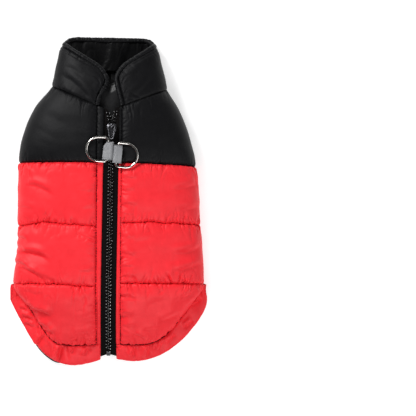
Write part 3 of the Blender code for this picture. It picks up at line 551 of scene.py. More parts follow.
# The same plating, lighter and duller, on the tab and the stop
pale_zinc = worn("pale_zinc_tab", "zip_metal", "#5e5e62", "#88888c", rough=(0.2, 0.4), Metallic=1.0)
# Nickel over polished steel: the brightest thing here, and a little warm
nickel_wire = worn("nickel_plated_steel_wire", "polished_steel", "#b2afab", "#c6c3bf",
                   rough=(0.08, 0.16), strength=0.03, Metallic=1.0)
# Spun thread, matt, with its colour painted darker than its cloth: painted shade of the seam groove it lies
# in
black_thread = worn("black_polyester_thread", "black_shell", "#0c0c0d", "#161617", grain=0.4,
                    rough=(0.5, 0.7))
red_thread = worn("red_polyester_thread", "red_shell", "#7a0c14", "#a0131d", grain=0.4,
                  rough=(0.7, 0.9), Specular_IOR_Level=0.15)
seam_shade_thread = worn("thread_painted_seam_shade", "red_shell", "#150405", "#2a080b", grain=0.4,
                   rough=(0.8, 0.95), Specular_IOR_Level=0.1)
print("finishes", len(bpy.data.materials))

# %% [markdown]
# ## The quilted back
#
# Wadding lies between the shell and the lining, and the seams hold it down, so every panel
# rises from its seams like a pillow and is fullest between them. A cloth simulation can do
# this, but it rubs out the narrow seams and has to be guided to fold where the real vest
# folds. Here the shape is added up from its causes: pillow, puckers, slow waves, creases.

# %% Creases of the back
# start x, start y, end x, end y, width and depth in millimetres, and bow
CREASES = {
    "yoke_left": [(-70, 88, -32, 64, 4.2, 0.23, 0.06), (-80, 74, -44, 54, 3.6, 0.17, 0.04),
                  (-58, 104, -26, 84, 3.6, 0.12, 0.04), (-74, 58, -50, 50, 2.6, 0.12, 0.05)],
    "yoke_right": [(26, 70, 66, 92, 4.2, 0.17, -0.05), (40, 52, 78, 66, 3.6, 0.15, -0.04),
                   (24, 86, 52, 104, 3.6, 0.1, 0.05)],
    "channel_1_left": [(-84, 15, -53, 4, 2.5, 1.74, 0.08), (-92, 26, -72, 20, 2.8, 0.96, 0.06),
                       (-46, 28, -22, 24, 3, 0.49, 0.05), (-92, -8, -70, -13, 2.4, 0.96, 0.06),
                       (-30, 8, -12, 6, 1.7, 0.57, 0.04), (-26, -9, -12, -8, 1.7, 0.57, -0.04)],
    "channel_1_right": [(62, 10, 90, 16, 2.8, 1.36, -0.06), (24, 24, 50, 27, 3, 0.49, 0.04),
                        (64, -12, 92, -6, 2.8, 0.96, -0.06), (12, 21, 30, 19, 1.8, 0.96, 0.05),
                        (12, 9, 27, 7, 1.8, 0.96, 0.05), (12, -4, 30, -8, 1.8, 0.96, 0.05),
                        (12, -14, 24, -16, 1.3, 0.65, 0.04)],
    "channel_2_left": [(-95, -55, -55, -63, 2.5, 2.91, 0.12), (-96, -64, -76, -69, 2, 2.33, 0.1),
                       (-93, -67, -66, -80, 2, 1.55, 0.08), (-82, -70, -60, -83, 2, 1.16, 0.06),
                       (-93, -38, -78, -43, 2.4, 1.55, 0.1), (-94, -47, -80, -50, 2, 1.36, 0.08),
                       (-72, -72, -52, -84, 1.7, 0.65, 0.05), (-54, -42, -28, -40, 3.3, 0.49, 0.05),
                       (-30, -72, -12, -70, 1.7, 0.65, -0.04)],
    "channel_2_right": [(62, -54, 94, -46, 2.8, 1.55, -0.08), (60, -72, 94, -63, 2.5, 1.55, -0.06),
                        (22, -44, 46, -40, 3.3, 0.49, 0.04), (12, -38, 28, -41, 1.8, 0.96, 0.05),
                        (12, -54, 28, -57, 1.8, 1.07, 0.05), (12, -66, 26, -68, 1.3, 0.73, 0.05),
                        (12, -76, 30, -79, 1.5, 0.73, 0.04)],
    "channel_3_left": [(-82, -104, -69, -109, 1.9, 1.74, 0.06), (-80, -110, -55, -116, 2.2, 2.71, 0.07),
                       (-71, -125, -56, -128, 1.9, 1.74, 0.06), (-68, -130, -52, -134, 1.9, 1.55, 0.06),
                       (-88, -91, -62, -98, 2.5, 0.96, 0.06), (-44, -100, -18, -103, 3.3, 0.49, 0.04),
                       (-38, -133, -12, -130, 2.1, 0.65, -0.04)],
    "channel_3_right": [(70, -98, 88, -88, 2.2, 1.74, -0.06), (34, -106, 62, -99, 3.3, 0.49, 0.05),
                        (24, -132, 37, -141, 2, 1.74, 0.06), (48, -121, 72, -111, 2.4, 1.36, -0.05),
                        (12, -95, 30, -98, 1.8, 0.96, 0.05), (12, -112, 26, -114, 1.5, 0.96, 0.05),
                        (12, -126, 30, -125, 1.8, 0.96, 0.04), (32, -129, 52, -127, 1.8, 0.65, -0.05)],
    "hem_band_left": [(-94, -95, -79, -104, 1.8, 2.45, 0.06), (-92, -108, -80, -113, 1.4, 1.3, 0.06),
                      (-91, -116, -75, -122, 1.7, 2.75, 0.06), (-87, -123, -75, -130, 1.7, 2.45, 0.06),
                      (-74, -147, -64, -136, 1.6, 1.84, 0.05), (-51, -162, -45, -144, 1.7, 3.08, 0.05),
                      (-38, -155, -34, -146, 1.3, 1.3, 0.04), (-24, -157, -20, -147, 1.3, 1.3, 0.04)],
    "hem_band_right": [(80, -107, 94, -97, 1.7, 2.45, -0.06), (74, -129, 86, -120, 1.7, 2.45, -0.05),
                       (58, -145, 68, -134, 1.7, 2.14, 0.05), (38, -159, 42, -145, 1.7, 2.45, 0.05),
                       (24, -158, 27, -146, 1.4, 1.84, 0.04), (50, -152, 56, -140, 1.4, 1.3, 0.05)],
}
SPACING, FINE_SPACING = 0.7, 0.5
print("creases", sum(len(rows) for rows in CREASES.values()))


# %% Rows and columns of a back panel
# Arc over a panel as a share of its width, and under it in millimetres for a step of t;
# half a seam in ring units; and the t where the lowest channel ends
ARC_SHARE, UNDER_ARC, ROW_GAP, TAIL_END = 1.12, 30, 0.004, 0.985
# How far up each quilt seam strays from its straight ring, in millimetres at some x
WANDER = {4: ((-89, -67, -39, -13, 13, 42, 91), (-1.2, 2.2, 0.5, -1.2, 1.6, 2.4, 0.4)),
          5: ((-94, -54, -13, 13, 55, 94), (1.2, 0.5, -1.2, 1.2, 1.8, 1.8))}
RING_LENGTH = 60.0


def even_t(side, v, start_mm, end):
    """t across a panel, even along the cloth: from a distance off the zip to the side edge
    and on, under the garment, to the panel's outer edge."""
    above = max(12, int(float(np.mean(half_width(side, ring(v)))) * ARC_SHARE / FINE_SPACING))
    below = max(10, int(float(np.max(end - 1)) * UNDER_ARC / SPACING))
    start = t_from_zip(side, v, start_mm)
    over = start + (1 - start) * np.linspace(0, 1, above)[None, :]
    under = 1 + (end - 1) * np.linspace(0, 1, below + 1)[None, 1:]
    return np.concatenate([over, under], 1)


def yoke_rows():
    """Even rows down to the armhole, then rows that crowd at the oval's two ends."""
    oval_rows = ARMHOLE_MIDDLE - ARMHOLE_REACH * np.cos(np.linspace(0, math.pi, 84))
    return np.concatenate([np.linspace(1 + ROW_GAP, oval_rows[0], 34)[:-1], oval_rows])[:, None]


def seam_wander(side, t, number):
    """How far, in ring units, a quilt seam strays from its ring at t: the drawn-up line of
    the real seam, plus a small noise. It dies away under the garment."""
    if number not in WANDER:
        return 0.0
    x = side * half_width(side, ring(float(number))) * np.sin(np.clip(t, -1, 1) * math.pi / 2)
    rise = (np.interp(x, *WANDER[number]) + 0.45 * noise(x / 11, number * 7.0, 51)
            + 0.3 * noise(x / 3.4, number * 5.0, 52))
    return -rise / RING_LENGTH * (1 - smooth_step((t - 1) / 0.5))


def wandering(side, t, v, first):
    """Ring values whose first and last rows follow the cross seams above and below."""
    share = (v - v[0]) / (v[-1] - v[0])
    return (v + seam_wander(side, t, first) * (1 - share) ** 2
            + seam_wander(side, t, first + 1) * share**2)


# %% Building a padded back panel
PAD_WALL, WIDEST = 3.0, 98.6


def padded_relief(side, t, v, height, radius, edge_radius, layer, table, wave=0.5, gather=1.0, last=1.0):
    """Height over the seam level: pillow times full height, plus slow waves, creases and
    puckers at each seam, those of the last row times last. It is lower towards the side,
    and under the garment it lies flat, so only dents are left there."""
    points = tube(side, t, v)
    a, b = cloth_map(points)
    left, below = a[:, -1:] - a, b[-1:] - b
    full = pillow(b, radius) * pillow(below, radius) * pillow(a, edge_radius) * pillow(left, edge_radius)
    lie = smooth_step((t - 1.15) / 0.6)
    rise = height * full * (1 - 0.65 * smooth_step((t - 0.55) / 0.45)) * (1 - lie)
    x, y = points[..., 0], points[..., 1]
    slow = noise(x / 26, y / 11, layer) + 0.3 * noise(x / 11 + 9, y / 6, layer + 1)
    run = a + 200 * (side > 0)
    gathers = (puckers(run, b, layer + 3) + last * puckers(run + 57, below, layer + 7)
               + 0.8 * puckers(b + 90, a, layer + 11, 2.0, 3.0))
    pinch = 0.5 + 1.1 * np.abs(noise(run / 2.6, 11.0, layer + 13))
    relief = (wave * slow * np.clip(full, 0, 1) + gather * gathers + creases(points, table)
              - pinch * (np.exp(-(b / 1.2) ** 2) + last * np.exp(-(below / 1.2) ** 2))
              - 0.9 * np.exp(-(a / 0.9) ** 2))
    return rise + relief * (1 - lie) + np.minimum(relief - 0.25, 0.0) * lie, (a, b)


def inside_box(points):
    """Points held within the widest half width and above the floor."""
    return np.stack([np.clip(points[..., 0], -WIDEST, WIDEST), points[..., 1],
                     np.maximum(points[..., 2], 0.0)], -1)


def ahead_of(side, t, v):
    """Direction along the tube towards the tail."""
    return unit(tube(side, t, v) - tube(side, t, v - 0.05))


def back_panel(name, node, side, t, v, material, fill, roll=0.0, **shape):
    """Padded piece between its relief and a plain inner face. At its last row the cloth
    can roll outwards past the seam level, by roll times exp(-(away / 4)^2)."""
    relief, flat = padded_relief(side, t, v, table=CREASES[node], **shape)
    away = flat[1][-1:] - flat[1]
    outer = place(side, t, v, -relief) + ahead_of(side, t, v) * (roll * np.exp(-(away / 4) ** 2))[..., None]
    pick = np.linspace(0, len(v) - 1, 5).round().astype(int)
    inner = place(side, t[pick], np.broadcast_to(v, t.shape)[pick], PAD_WALL)
    made = closed_pad(name, inside_box(outer), inside_box(inner), flat, material)
    stand_for(made, node)


# %% Yokes, channels and hem bands
SIDES = ((-1, "left"), (1, "right"))
HEM_ROLL = 2.6
for side, label in SIDES:
    v = yoke_rows()
    t = even_t(side, v, PLACKET_EDGE + 0.1, back_edge(side, v))
    back_panel("yoke_cloth_" + label, "yoke_" + label, side, t, v, black_nylon, fill=0.4, height=3.0,
               radius=20.0, edge_radius=10, layer=10 + side, wave=0.2, gather=0.45)
    for number in (1, 2, 3):
        last = number + 3.0 - ROW_GAP * (number == 3)
        v = np.linspace(number + 2.0, last, int(RING_LENGTH / SPACING))[:, None]
        if number < 3:
            t = even_t(side, v, PLACKET_EDGE + 0.1, back_edge(side, v))
        else:
            start = t_from_zip(side, v, PLACKET_EDGE + 0.1)
            t = start + (TAIL_END - start) * np.linspace(0, 1, 190)[None, :]
        node = f"channel_{number}_{label}"
        back_panel("quilt_" + node, node, side, t, wandering(side, t, v, number + 2), red_nylon, fill=0.5,
                   height=4.2, radius=17.0, edge_radius=10, layer=20 + 4 * number + side, gather=1.3)
    v = np.linspace(6 + ROW_GAP, 7.0, 32)[:, None]
    t = even_t(side, v, TAPE_EDGE + SEAM_GAP + side * drift(v), back_edge(side, v))
    back_panel("hem_cloth_" + label, "hem_band_" + label, side, t, v, red_nylon, fill=0.3, roll=HEM_ROLL,
               height=1.8, radius=5.0, edge_radius=2, layer=40 + side, last=0.15)

# %% [markdown]
# ## The belly, its hem and the lining
#
# The belly is one plain panel, not quilted, of a shinier cloth, and it lies slack, so it
# folds softly and widely from the armholes towards the middle. Its hem is a folded band.
# The lining shows inside the neck, the armholes and the tail. These are thin walls, and a
# simulation would only blur them, so their folds are made as dents inwards.

# %% Belly panel
BELLY_FOLDS = [(-46, 92, -6, 52, 4.0, 1.5, 0.05), (-52, 62, -8, 34, 3.5, 1.2, 0.05),
               (-48, 44, -18, 6, 4.0, 1.3, -0.05), (10, 56, 48, 90, 4.0, 1.5, -0.05),
               (12, 40, 54, 56, 3.5, 1.1, -0.06), (22, -4, 52, 40, 4.0, 1.4, 0.05),
               (-22, 106, -10, 76, 3.0, 0.8, 0.04), (14, 78, 24, 104, 3.0, 0.8, 0.04),
               (0, 32, 6, -30, 4.5, 1.1, 0.08), (-60, 6, -34, -40, 3.5, 1.1, 0.05),
               (36, -44, 60, 2, 3.5, 1.1, 0.05), (-30, -20, -24, -60, 3.0, 0.7, 0.05),
               (26, -58, 30, -22, 3.0, 0.7, 0.05)]
BELLY_WALL, HEM_EXTRA = 3.6, 1.0


def belly_places(v):
    """Side, t and v over the belly, from the left side seam across to the right one."""
    halves = []
    for side in (-1.0, 1.0):
        edge = belly_edge(side, v)
        t = edge + (3 - edge) * np.linspace(0, 1, 84)[None, :]
        halves.append((np.full(t.shape, side), t, np.broadcast_to(v, t.shape)))
    return [np.concatenate([a, b[:, -2::-1]], 1) for a, b in zip(*halves)]


side, t, v = belly_places(np.concatenate([yoke_rows(), np.linspace(2.997, 4.997, 92)[:, None]]))
points = tube(side, t, v)
x, y = points[..., 0], points[..., 1]
a, b = cloth_map(points)
edge_run = np.minimum(a, a[:, -1:] - a)
dent = (0.9 * noise(x / 23, y / 19, 1) + 0.35 * noise(x / 9, y / 8, 2) + 0.10 * noise(x / 3.3, y / 3.1, 3)
        + puckers(b, edge_run, 4, 3.6, 6.0, 0.7) + puckers(a, b[-1:] - b, 44, 3.4, 6.0, 0.6)
        + creases(points, BELLY_FOLDS))
outer = place(side, t, v, np.clip(0.8 - dent, 0.0, 2.6))
pick = np.linspace(0, len(v) - 1, 24).round().astype(int)
thin_rim = BELLY_WALL - 2.6 * np.exp(-(b[pick] / 4.0) ** 2)
belly = closed_pad("belly_satin", inside_box(outer), place(side[pick], t[pick], v[pick], thin_rim),
                   (a, b), black_satin, black_lining)
stand_for(belly, "belly_panel")

# %% Belly hem
side, t, v = belly_places(np.linspace(6.0, 7.0, 21)[:, None])
points = tube(side, t, v)
a, b = cloth_map(points)
dent = (0.35 * noise(points[..., 0] / 12, points[..., 1] / 7, 5) + puckers(a, b, 48, 3.0, 5.0, 0.8)
        + puckers(a + 31, b[-1:] - b, 52, 3.4, 3.0, 0.4))
outer = place(side, t, v, np.clip(0.5 - dent, 0.0, 2.0))
inner = place(side[::10], t[::10], v[::10], BELLY_WALL + HEM_EXTRA)
band = closed_pad("belly_hem_band", inside_box(outer), inner, (a, b), black_satin)
stand_for(band, "belly_hem")

# %% Lining and hem facing
LINING_DEPTH, LINING_THICK, LINING_GROW = 3.5, 1.0, 1.07
# Share of the columns above the side edge; where, how wide and how far the facing peeps out
ABOVE_SHARE, PEEP_MIDDLE, PEEP_HALF, PEEP = 0.72, 62.0, 15.0, 3.6


def slack_folds(points, a, b):
    x, y = points[..., 0], points[..., 1]
    return 0.5 * noise(x / 14, y / 19, 6) + 0.3 * noise(x / 5, y / 9, 7)


def facing_folds(points, a, b):
    return 0.25 * noise(points[..., 0] / 8, points[..., 1] / 8, 8) + puckers(a, b, 56, 3.0, 6.0, 0.8)


def thin_inside(name, node, side, v, end, columns=90, folds=slack_folds, peep=0.0):
    """Thin cloth inside the back: the folded face looks inwards, the plain one outwards.
    Its last rows follow the rolled hem, and can peep out below it in one place."""
    start = t_from_zip(side, v, FLAP_HALF + SEAM_GAP)
    share = np.linspace(0, 1, columns)[None, :]
    t = start + (end - start) * share
    if np.min(end) > 1:
        t = np.where(share < ABOVE_SHARE, start + (1 - start) * share / ABOVE_SHARE,
                     1 + (end - 1) * (share - ABOVE_SHARE) / (1 - ABOVE_SHARE))
    v = np.broadcast_to(v, t.shape)
    points = place(side, t, v, LINING_DEPTH)
    window = np.exp(-((points[..., 0] + PEEP_MIDDLE) / PEEP_HALF) ** 4)
    past = (HEM_ROLL - 0.6 + peep * window) * smooth_step((v - 6.7) / 0.3)
    past = ahead_of(side, t, v) * past[..., None]
    points = inside_box(points + past)
    a, b = cloth_map(points)
    inward = LINING_THICK + np.clip(0.3 + folds(points, a, b), 0, 1.8)
    inner = inside_box(place(side, t, v, LINING_DEPTH + inward) + past)
    pick = np.linspace(0, len(v) - 1, 30).round().astype(int)
    made = closed_pad(name, inner, points[pick], (a, b), black_lining)
    stand_for(made, node)


for side, label in SIDES:
    grown = ARMHOLE_REACH * LINING_GROW
    oval_rows = ARMHOLE_MIDDLE - grown * np.cos(np.linspace(0, math.pi, 50))
    rows = np.concatenate([np.linspace(1.02, oval_rows[0], 24)[:-1], oval_rows,
                           np.linspace(oval_rows[-1], 4.985, 60)[1:]])[:, None]
    bulge = ARMHOLE_HALF * LINING_GROW * np.sqrt(np.clip(1 - ((rows - ARMHOLE_MIDDLE) / grown) ** 2, 0, 1))
    end = t_from_edge(side, rows, seam_arc(side, rows) - 0.8 - bulge)
    thin_inside("lining_front_" + label, "lining_" + label, side, rows, end)
    thin_inside("lining_tail_" + label, "lining_" + label, side, np.linspace(4.99, 5.8, 44)[:, None], 0.9)
    thin_inside("facing_" + label, "hem_facing_" + label, side, np.linspace(5.806, 7.0, 46)[:, None], 0.86,
                100, facing_folds, PEEP)

# %% [markdown]
# ## The collar and its rolled edge
#
# The collar is a padded strip round the neck, folded outwards over a soft edge. Its outside
# lies in long slack creases, and its inside, seen through the V, in soft upright folds. The
# edge is a rolled binding, gathered as it was sewn, most of all along the left front, so it
# is swept along the edge with a section that swells and shrinks.

# %% Collar
COLLAR_EDGE_BASE, COLLAR_EDGE_TOP, COLLAR_CORNER, EDGE_ROLL = 10.1, 1.9, 12.0, 2.1
COLLAR_CREASES = [(-50, 127, -14, 94, 2.6, 0.9, 0.06), (-44, 134, -24, 120, 2.2, 0.4, 0.05),
                  (-52, 112, -34, 97, 2.0, 0.4, 0.05), (18, 96, 48, 126, 2.6, 0.5, -0.05),
                  (22, 120, 44, 138, 2.2, 0.35, 0.05), (30, 92, 54, 108, 2.0, 0.35, -0.05)]


def collar_edge(side, v):
    """Distance of the collar's front edge from the zip's centre: an S, open below."""
    opening = COLLAR_EDGE_TOP + (COLLAR_EDGE_BASE - COLLAR_EDGE_TOP) * smooth_step((v - 0.15) / 0.85)
    return opening + side * (drift(v) - 0.6 - 1.5 * smooth_step((v - 0.3) / 0.45))


def collar_places(side, v, inset):
    """t from mid belly, round the side edge, to the front edge drawn in by inset."""
    under, front = 70, 84
    base = np.concatenate([np.linspace(3, 1, under), np.ones(front - 1)])[None, :]
    share = np.concatenate([np.zeros(under), np.linspace(0, 1, front)[1:]])[None, :]
    return base + (t_from_zip(side, v, collar_edge(side, v) + inset) - 1) * share


def v_down_collar(side, t, distance):
    """Ring value at a distance down from the collar's top edge."""
    return distance / (np.linalg.norm(tube(side, t, 0.1) - tube(side, t, 0.0), axis=-1) / 0.1)


inset = 2 * EDGE_ROLL + 0.2
halves = []
for side in (-1.0, 1.0):
    t = collar_places(side, np.array([[0.1]]), inset)
    away = (t - t[:, -1:]) * math.pi / 2 * half_width(side, ring(0.0))
    fall = COLLAR_CORNER - np.sqrt(COLLAR_CORNER**2 - np.clip(COLLAR_CORNER - away, 0, None) ** 2)
    start = v_down_collar(side, t, inset + fall * (t <= 1))
    v = start + (1.005 - start) * np.linspace(0, 1, 58)[:, None]
    t = collar_places(side, v, inset)
    halves.append((np.full(t.shape, side), t, v))
side, t, v = [np.concatenate([a[:, ::-1], b[:, 1:]], 1) for a, b in zip(*halves)]
points = tube(side, t, v)
a, b = cloth_map(points)
edges, below = np.minimum(a, a[:, -1:] - a), b[-1:] - b
full = pillow(b, 7) * pillow(below, 12) * pillow(edges, 8)
lie = smooth_step((t - 1.15) / 0.6)
relief = (0.35 * noise(points[..., 0] / 17, points[..., 1] / 15, 2) + 0.1 * noise(a / 7, b / 12, 3)
          + puckers(a, b, 4, 2.6, 4.0, 0.7) + puckers(a + 23, below, 8, 2.6, 4.0, 0.7)
          + puckers(b + 70, edges, 12, 2.2, 6.0, 1.0) + creases(points, COLLAR_CREASES)
          - 0.7 * np.exp(-(below / 1.8) ** 2) - 0.5 * np.exp(-((b - 3.2) / 0.7) ** 2))
relief = (2.0 * full + relief) * (1 - lie) + np.minimum(relief - 0.3, 0) * lie
folds = (0.9 * noise(a / 9, b / 60, 21) + 0.45 * noise(a / 4.2, b / 35, 22)
         + puckers(a + 11, b, 24, 3.2, 12.0, 0.9))
inner = place(side[::2], t[::2], v[::2], PAD_WALL + np.clip(0.6 + folds[::2], 0, 2.4))
collar = closed_pad("collar_cloth", inside_box(place(side, t, v, -relief)), inner, (a, b),
                    black_nylon, black_lining)
stand_for(collar, "collar")
print("collar grid", t.shape)

# %% Rolled edge of the collar
paths = []
for side in (-1.0, 1.0):
    front = float(t_from_zip(side, 0.05, collar_edge(side, 0.05) + EDGE_ROLL))
    top, corner_v = (float(v_down_collar(side, front, EDGE_ROLL + d)) for d in (0.0, COLLAR_CORNER))
    turn = np.radians(np.linspace(0, 90, 16))[1:-1]
    v_front = np.concatenate([np.linspace(0.985, corner_v, 60), corner_v - (corner_v - top) * np.sin(turn)])
    beside = collar_edge(side, v_front) + EDGE_ROLL
    beside[60:] += COLLAR_CORNER * (1 - np.cos(turn))
    start = t_from_zip(side, top, collar_edge(side, top) + EDGE_ROLL + COLLAR_CORNER)
    t_top = np.concatenate([np.linspace(start, 1, 90), np.linspace(1, 3, 90)[1:]])
    t = np.concatenate([t_from_zip(side, v_front, beside), t_top])
    v = np.concatenate([v_front, v_down_collar(side, t_top, EDGE_ROLL)])
    paths.append((np.full(len(t), side), t, v))
side, t, v = (np.concatenate([a, b[-2::-1]]) for a, b in zip(*paths))
centres = place(side, t, v, EDGE_ROLL + 0.1)
run = run_along(centres)
even = np.linspace(0, run[-1], int(run[-1] / 0.55))
side, t, v = (np.interp(even, run, q) for q in (np.sign(side), t, v))
centres = np.stack([np.interp(even, run, centres[:, k]) for k in range(3)], 1)
up = unit(outward(np.where(side < 0, -1.0, 1.0), t, v))
gather = 0.35 + 0.75 * (side < 0) * (t < 1) * smooth_step((v - 0.06) / 0.2)
angle = np.linspace(0, 2 * math.pi, 18, endpoint=False)
swell = 1 + gather[:, None] * (0.48 * (np.abs(noise(even / 1.9, 0, 30)) - 0.4)[:, None]
                               + 0.12 * noise(even[:, None] / 1.6, angle[None, :] / 1.2, 31))
radius = (EDGE_ROLL + 0.5) * swell
centres[:, 2] = np.maximum(centres[:, 2], radius.max(1))
profile = np.stack([radius * np.cos(angle), radius * np.sin(angle) + 0.5 * (t[:, None] < 1.2)], -1)
binding = sweep("collar_rolled_edge", centres, across_path(centres, up), up, profile, black_nylon)
stand_for(binding, "collar_binding")
print("rolled edge, mm", round(float(run[-1])))

# %% [markdown]
# ## Fleece round the armholes
#
# A strip of black fleece is folded over each armhole's edge, so that nothing rubs the leg.
# It is a closed section carried round the oval, with a noise for its nap.

# %% Fleece
# Section: how far it goes into the hole, as a share of its width, and its depth
FLEECE_SECTION = np.array([(0.0, 0.5), (0.06, 0.2), (0.2, 0.0), (0.4, 0.0), (0.6, 0.05), (0.8, 0.3),
                           (0.93, 0.9), (1.0, 1.9), (1.0, 3.0), (0.93, 3.9), (0.8, 4.4), (0.55, 4.6),
                           (0.3, 4.5), (0.1, 4.2), (0.0, 3.6), (0.0, 1.6)])
FLEECE_WIDTH, MIDDLE_RADIUS = 6.5, 24
inset, deep = SEAM_GAP + FLEECE_WIDTH * FLEECE_SECTION[None, :, 0], FLEECE_SECTION[None, :, 1]
round_hole = np.linspace(0, 2 * math.pi, 260, endpoint=False)[:, None]
nap = 0.35 * noise(round_hole * 12, 0 * inset, 34) + 0.25 * noise(round_hole * 42, inset * 1.3, 35)
depth = np.maximum(deep + np.clip(nap, -0.3, 0.5) * (deep < 3), 0.0)
for side, label in SIDES:
    near, far = (tube(side, 2.1, ARMHOLE_MIDDLE + step) for step in (-0.3, 0.3))
    per_ring = float(np.linalg.norm(far - near)) / 0.6
    v = ARMHOLE_MIDDLE + (ARMHOLE_REACH - inset / per_ring) * np.cos(round_hole)
    arc = seam_arc(side, ARMHOLE_MIDDLE) + (ARMHOLE_HALF - inset) * np.sin(round_hole)
    points = place(side, t_from_edge(side, v, arc), v, depth)
    flat = np.stack(np.broadcast_arrays(round_hole * MIDDLE_RADIUS, inset), -1)
    made = make_mesh("fleece_" + label, points, *tube_faces(points, closed=True), fleece, flat)
    stand_for(made, "armhole_binding_" + label)
print("fleece section points", len(FLEECE_SECTION))

# %% [markdown]
# ## Plackets, zip tapes and flap
#
# On both sides of the zip the shell is folded back to a narrow placket and stitched down.
# The woven tapes come out from under it, and a flap of lining lies behind them, which
# shows grey where it stands up in the neck. They are narrow strips along the tube.

# %% Strips along the zip
SLIDER_Y, SLIDER_REACH, TAPE_DEPTH, TAPE_TOP_Y = 69.0, 7.0, 1.2, 89.5
FINE_V = np.linspace(0, 7, 2801)


def v_at_zip(y):
    """Ring whose top centre lies at y."""
    return np.interp(-np.asarray(y), -ring(FINE_V)["y_zip"], FINE_V)


def tape_inner(v):
    """How far each tape has moved off the chain's centre: the rows part above the slider."""
    return 4.0 * np.clip((v_at_zip(SLIDER_Y + SLIDER_REACH) - v) / 0.5, 0, 0.8)


def strip(name, node, side, v, near, far, columns, relief, bottom, material):
    """Strip between two distances from the zip's centre, its top given as a height."""
    share = np.linspace(0, 1, columns)[None, :]
    t = t_from_zip(side, v, near + (far - near) * share)
    v = np.broadcast_to(v, t.shape)
    a, b = cloth_map(tube(side, t, v))
    top, under = place(side, t, v, -relief(a, b, share)), place(side, t[::4], v[::4], bottom)
    made = closed_pad(name, top, under, (a, b), material)
    stand_for(made, node)
    return made


def folded_edge(a, b, share):
    """Placket: a roll 0.9 mm high, pulled down by the topstitch near its outer edge."""
    left = a[:, -1:] - a
    return (-0.25 + 0.9 * np.sqrt(np.clip(4 * share * (1 - share), 0, 1))
            - 0.5 * np.exp(-((left - 0.9) / 0.6) ** 2) + 0.2 * noise(b / 9, a / 5, 25)
            + 0.16 * noise(b / 3.2, a / 4, 26) + 0.8 * puckers(b, left, 27, 2.6, 2.4, 0.45)
            - 0.15 * np.exp(-(share / 0.1) ** 2))


def flat_tape(a, b, share):
    """Tape: flat, a little wavy, with a raised edge under the teeth."""
    return -TAPE_DEPTH + 0.12 * noise(b / 7, a / 9, 29) + 0.35 * np.exp(-(share / 0.14) ** 2)


for side, label in SIDES:
    for name, v0, v1, finish in (("black", 1.01, 2.997, black_nylon), ("red", 3.003, 5.99, red_nylon)):
        v = np.linspace(v0, v1, int(abs(float(ring(v1)["y_zip"] - ring(v0)["y_zip"])) / 0.6))[:, None]
        strip(f"placket_fold_{name}_{label}", f"placket_{name}_{label}", side, v,
              TAPE_EDGE + SEAM_GAP + side * drift(v), PLACKET_EDGE + 0.1, 12, folded_edge, 2.4, finish)
    v = np.linspace(v_at_zip(TAPE_TOP_Y), 6.97, 330)[:, None]
    centre = side * drift(v)
    strip("tape_twill_" + label, "zip_tape_" + label, side, v, 0.35 + tape_inner(v) + centre,
                       TAPE_EDGE + 0.6 + centre, 14, flat_tape, 2.2, tape_twill)

# %% Flap behind the zip
v = np.concatenate([np.linspace(0.28, 1.4, 80), np.linspace(1.4, 6.93, 300)[1:]])[:, None]
half = np.interp(v, (0.28, 0.36, 0.8, 1.35, 1.8, 7.0), (5.0, 8.0, 12.6, 12.6, FLAP_HALF, FLAP_HALF))
share, v = np.broadcast_arrays(np.linspace(-1, 1, 27)[None, :], v)
side = np.where(share < 0, -1.0, 1.0)
t = t_from_zip(side, v, np.abs(share) * half + side * drift(v) * (v < 3))
points = tube(side, t, v)
a, b = cloth_map(points)
proud = 0.15 * noise(a / 9, b / 26, 37) + 0.05 * noise(a / 4, b / 11, 38) + 0.5 * np.exp(-(b / 1.2) ** 2)
drop = np.interp(v, (0.28, 0.5, 1.1, 1.5, 2.0, 7.0), (5.0, 4.2, 8.4, 6.5, 4.2, 4.2))
flap = closed_pad("flap_cloth", place(side, t, v, drop - proud),
                  place(side[::6], t[::6], v[::6], drop[::6] + 1.2), (a, b), flap_lining)
stand_for(flap, "zip_flap")

# %% [markdown]
# ## The zip's teeth
#
# Each moulded tooth grips the tape's edge with a wide foot, narrows to a neck and ends in a
# head that locks behind the two opposite it. One tooth is a small lofted block of a few
# dozen faces, and the whole chain is that block repeated by arrays, left and right in turn.

# %% Teeth
PITCH, TOOTH_LEVEL, CHAIN_END, ROWS_END = 3.4, -1.0, -149.5, 88.5
# One left tooth, across from its foot to its head: distance from the zip's centre, half its
# length along the zip, its top and its bottom, and then the corners round each such station
STATIONS = np.array([(-2.6, 0.74, 1.35, -1.8), (-1.8, 0.82, 1.9, -1.9), (-1.0, 0.74, 1.35, -1.8),
                     (-0.9, 0.42, 0.0, -1.8), (-0.3, 0.42, -0.2, -1.8), (0.5, 0.50, -0.1, -1.8),
                     (1.1, 0.70, -0.1, -1.9), (1.6, 0.50, -0.3, -1.2)])
CORNERS = np.array([(0, -1), (1, -1), (1, 0.5), (0.88, 0.74), (0, 1.0), (-0.88, 0.74), (-1, 0.5), (-1, -1)])


def repeat(name, template, at, across, ahead, up, material):
    """Copies of a template (points across, along, up) at many places, as one mesh."""
    faces, caps = tube_faces(template)
    flat = template.reshape(-1, 3)
    points = (at[:, None] + flat[None, :, :1] * across[:, None] + flat[None, :, 1:2] * ahead[:, None]
              + flat[None, :, 2:] * up[:, None])
    step = np.arange(len(at))[:, None, None] * len(flat)
    ends = [end for cap in caps for end in (np.array(cap)[None] + step[:, 0]).tolist()]
    return make_mesh(name, points, (faces[None] + step).reshape(-1, 4), ends, material)


def zip_line(y):
    """Point, across, ahead and up on the zip's centre line at many y."""
    v = v_at_zip(y)
    r = ring(v)
    middle = np.stack([zip_x(r) + drift(v), y, r["z_top"]], -1)
    ahead = unit(np.gradient(middle, y, axis=0))
    across = unit(np.cross(ahead, np.array([0.0, 0.0, 1.0])))
    return middle, across, ahead, np.cross(across, ahead)


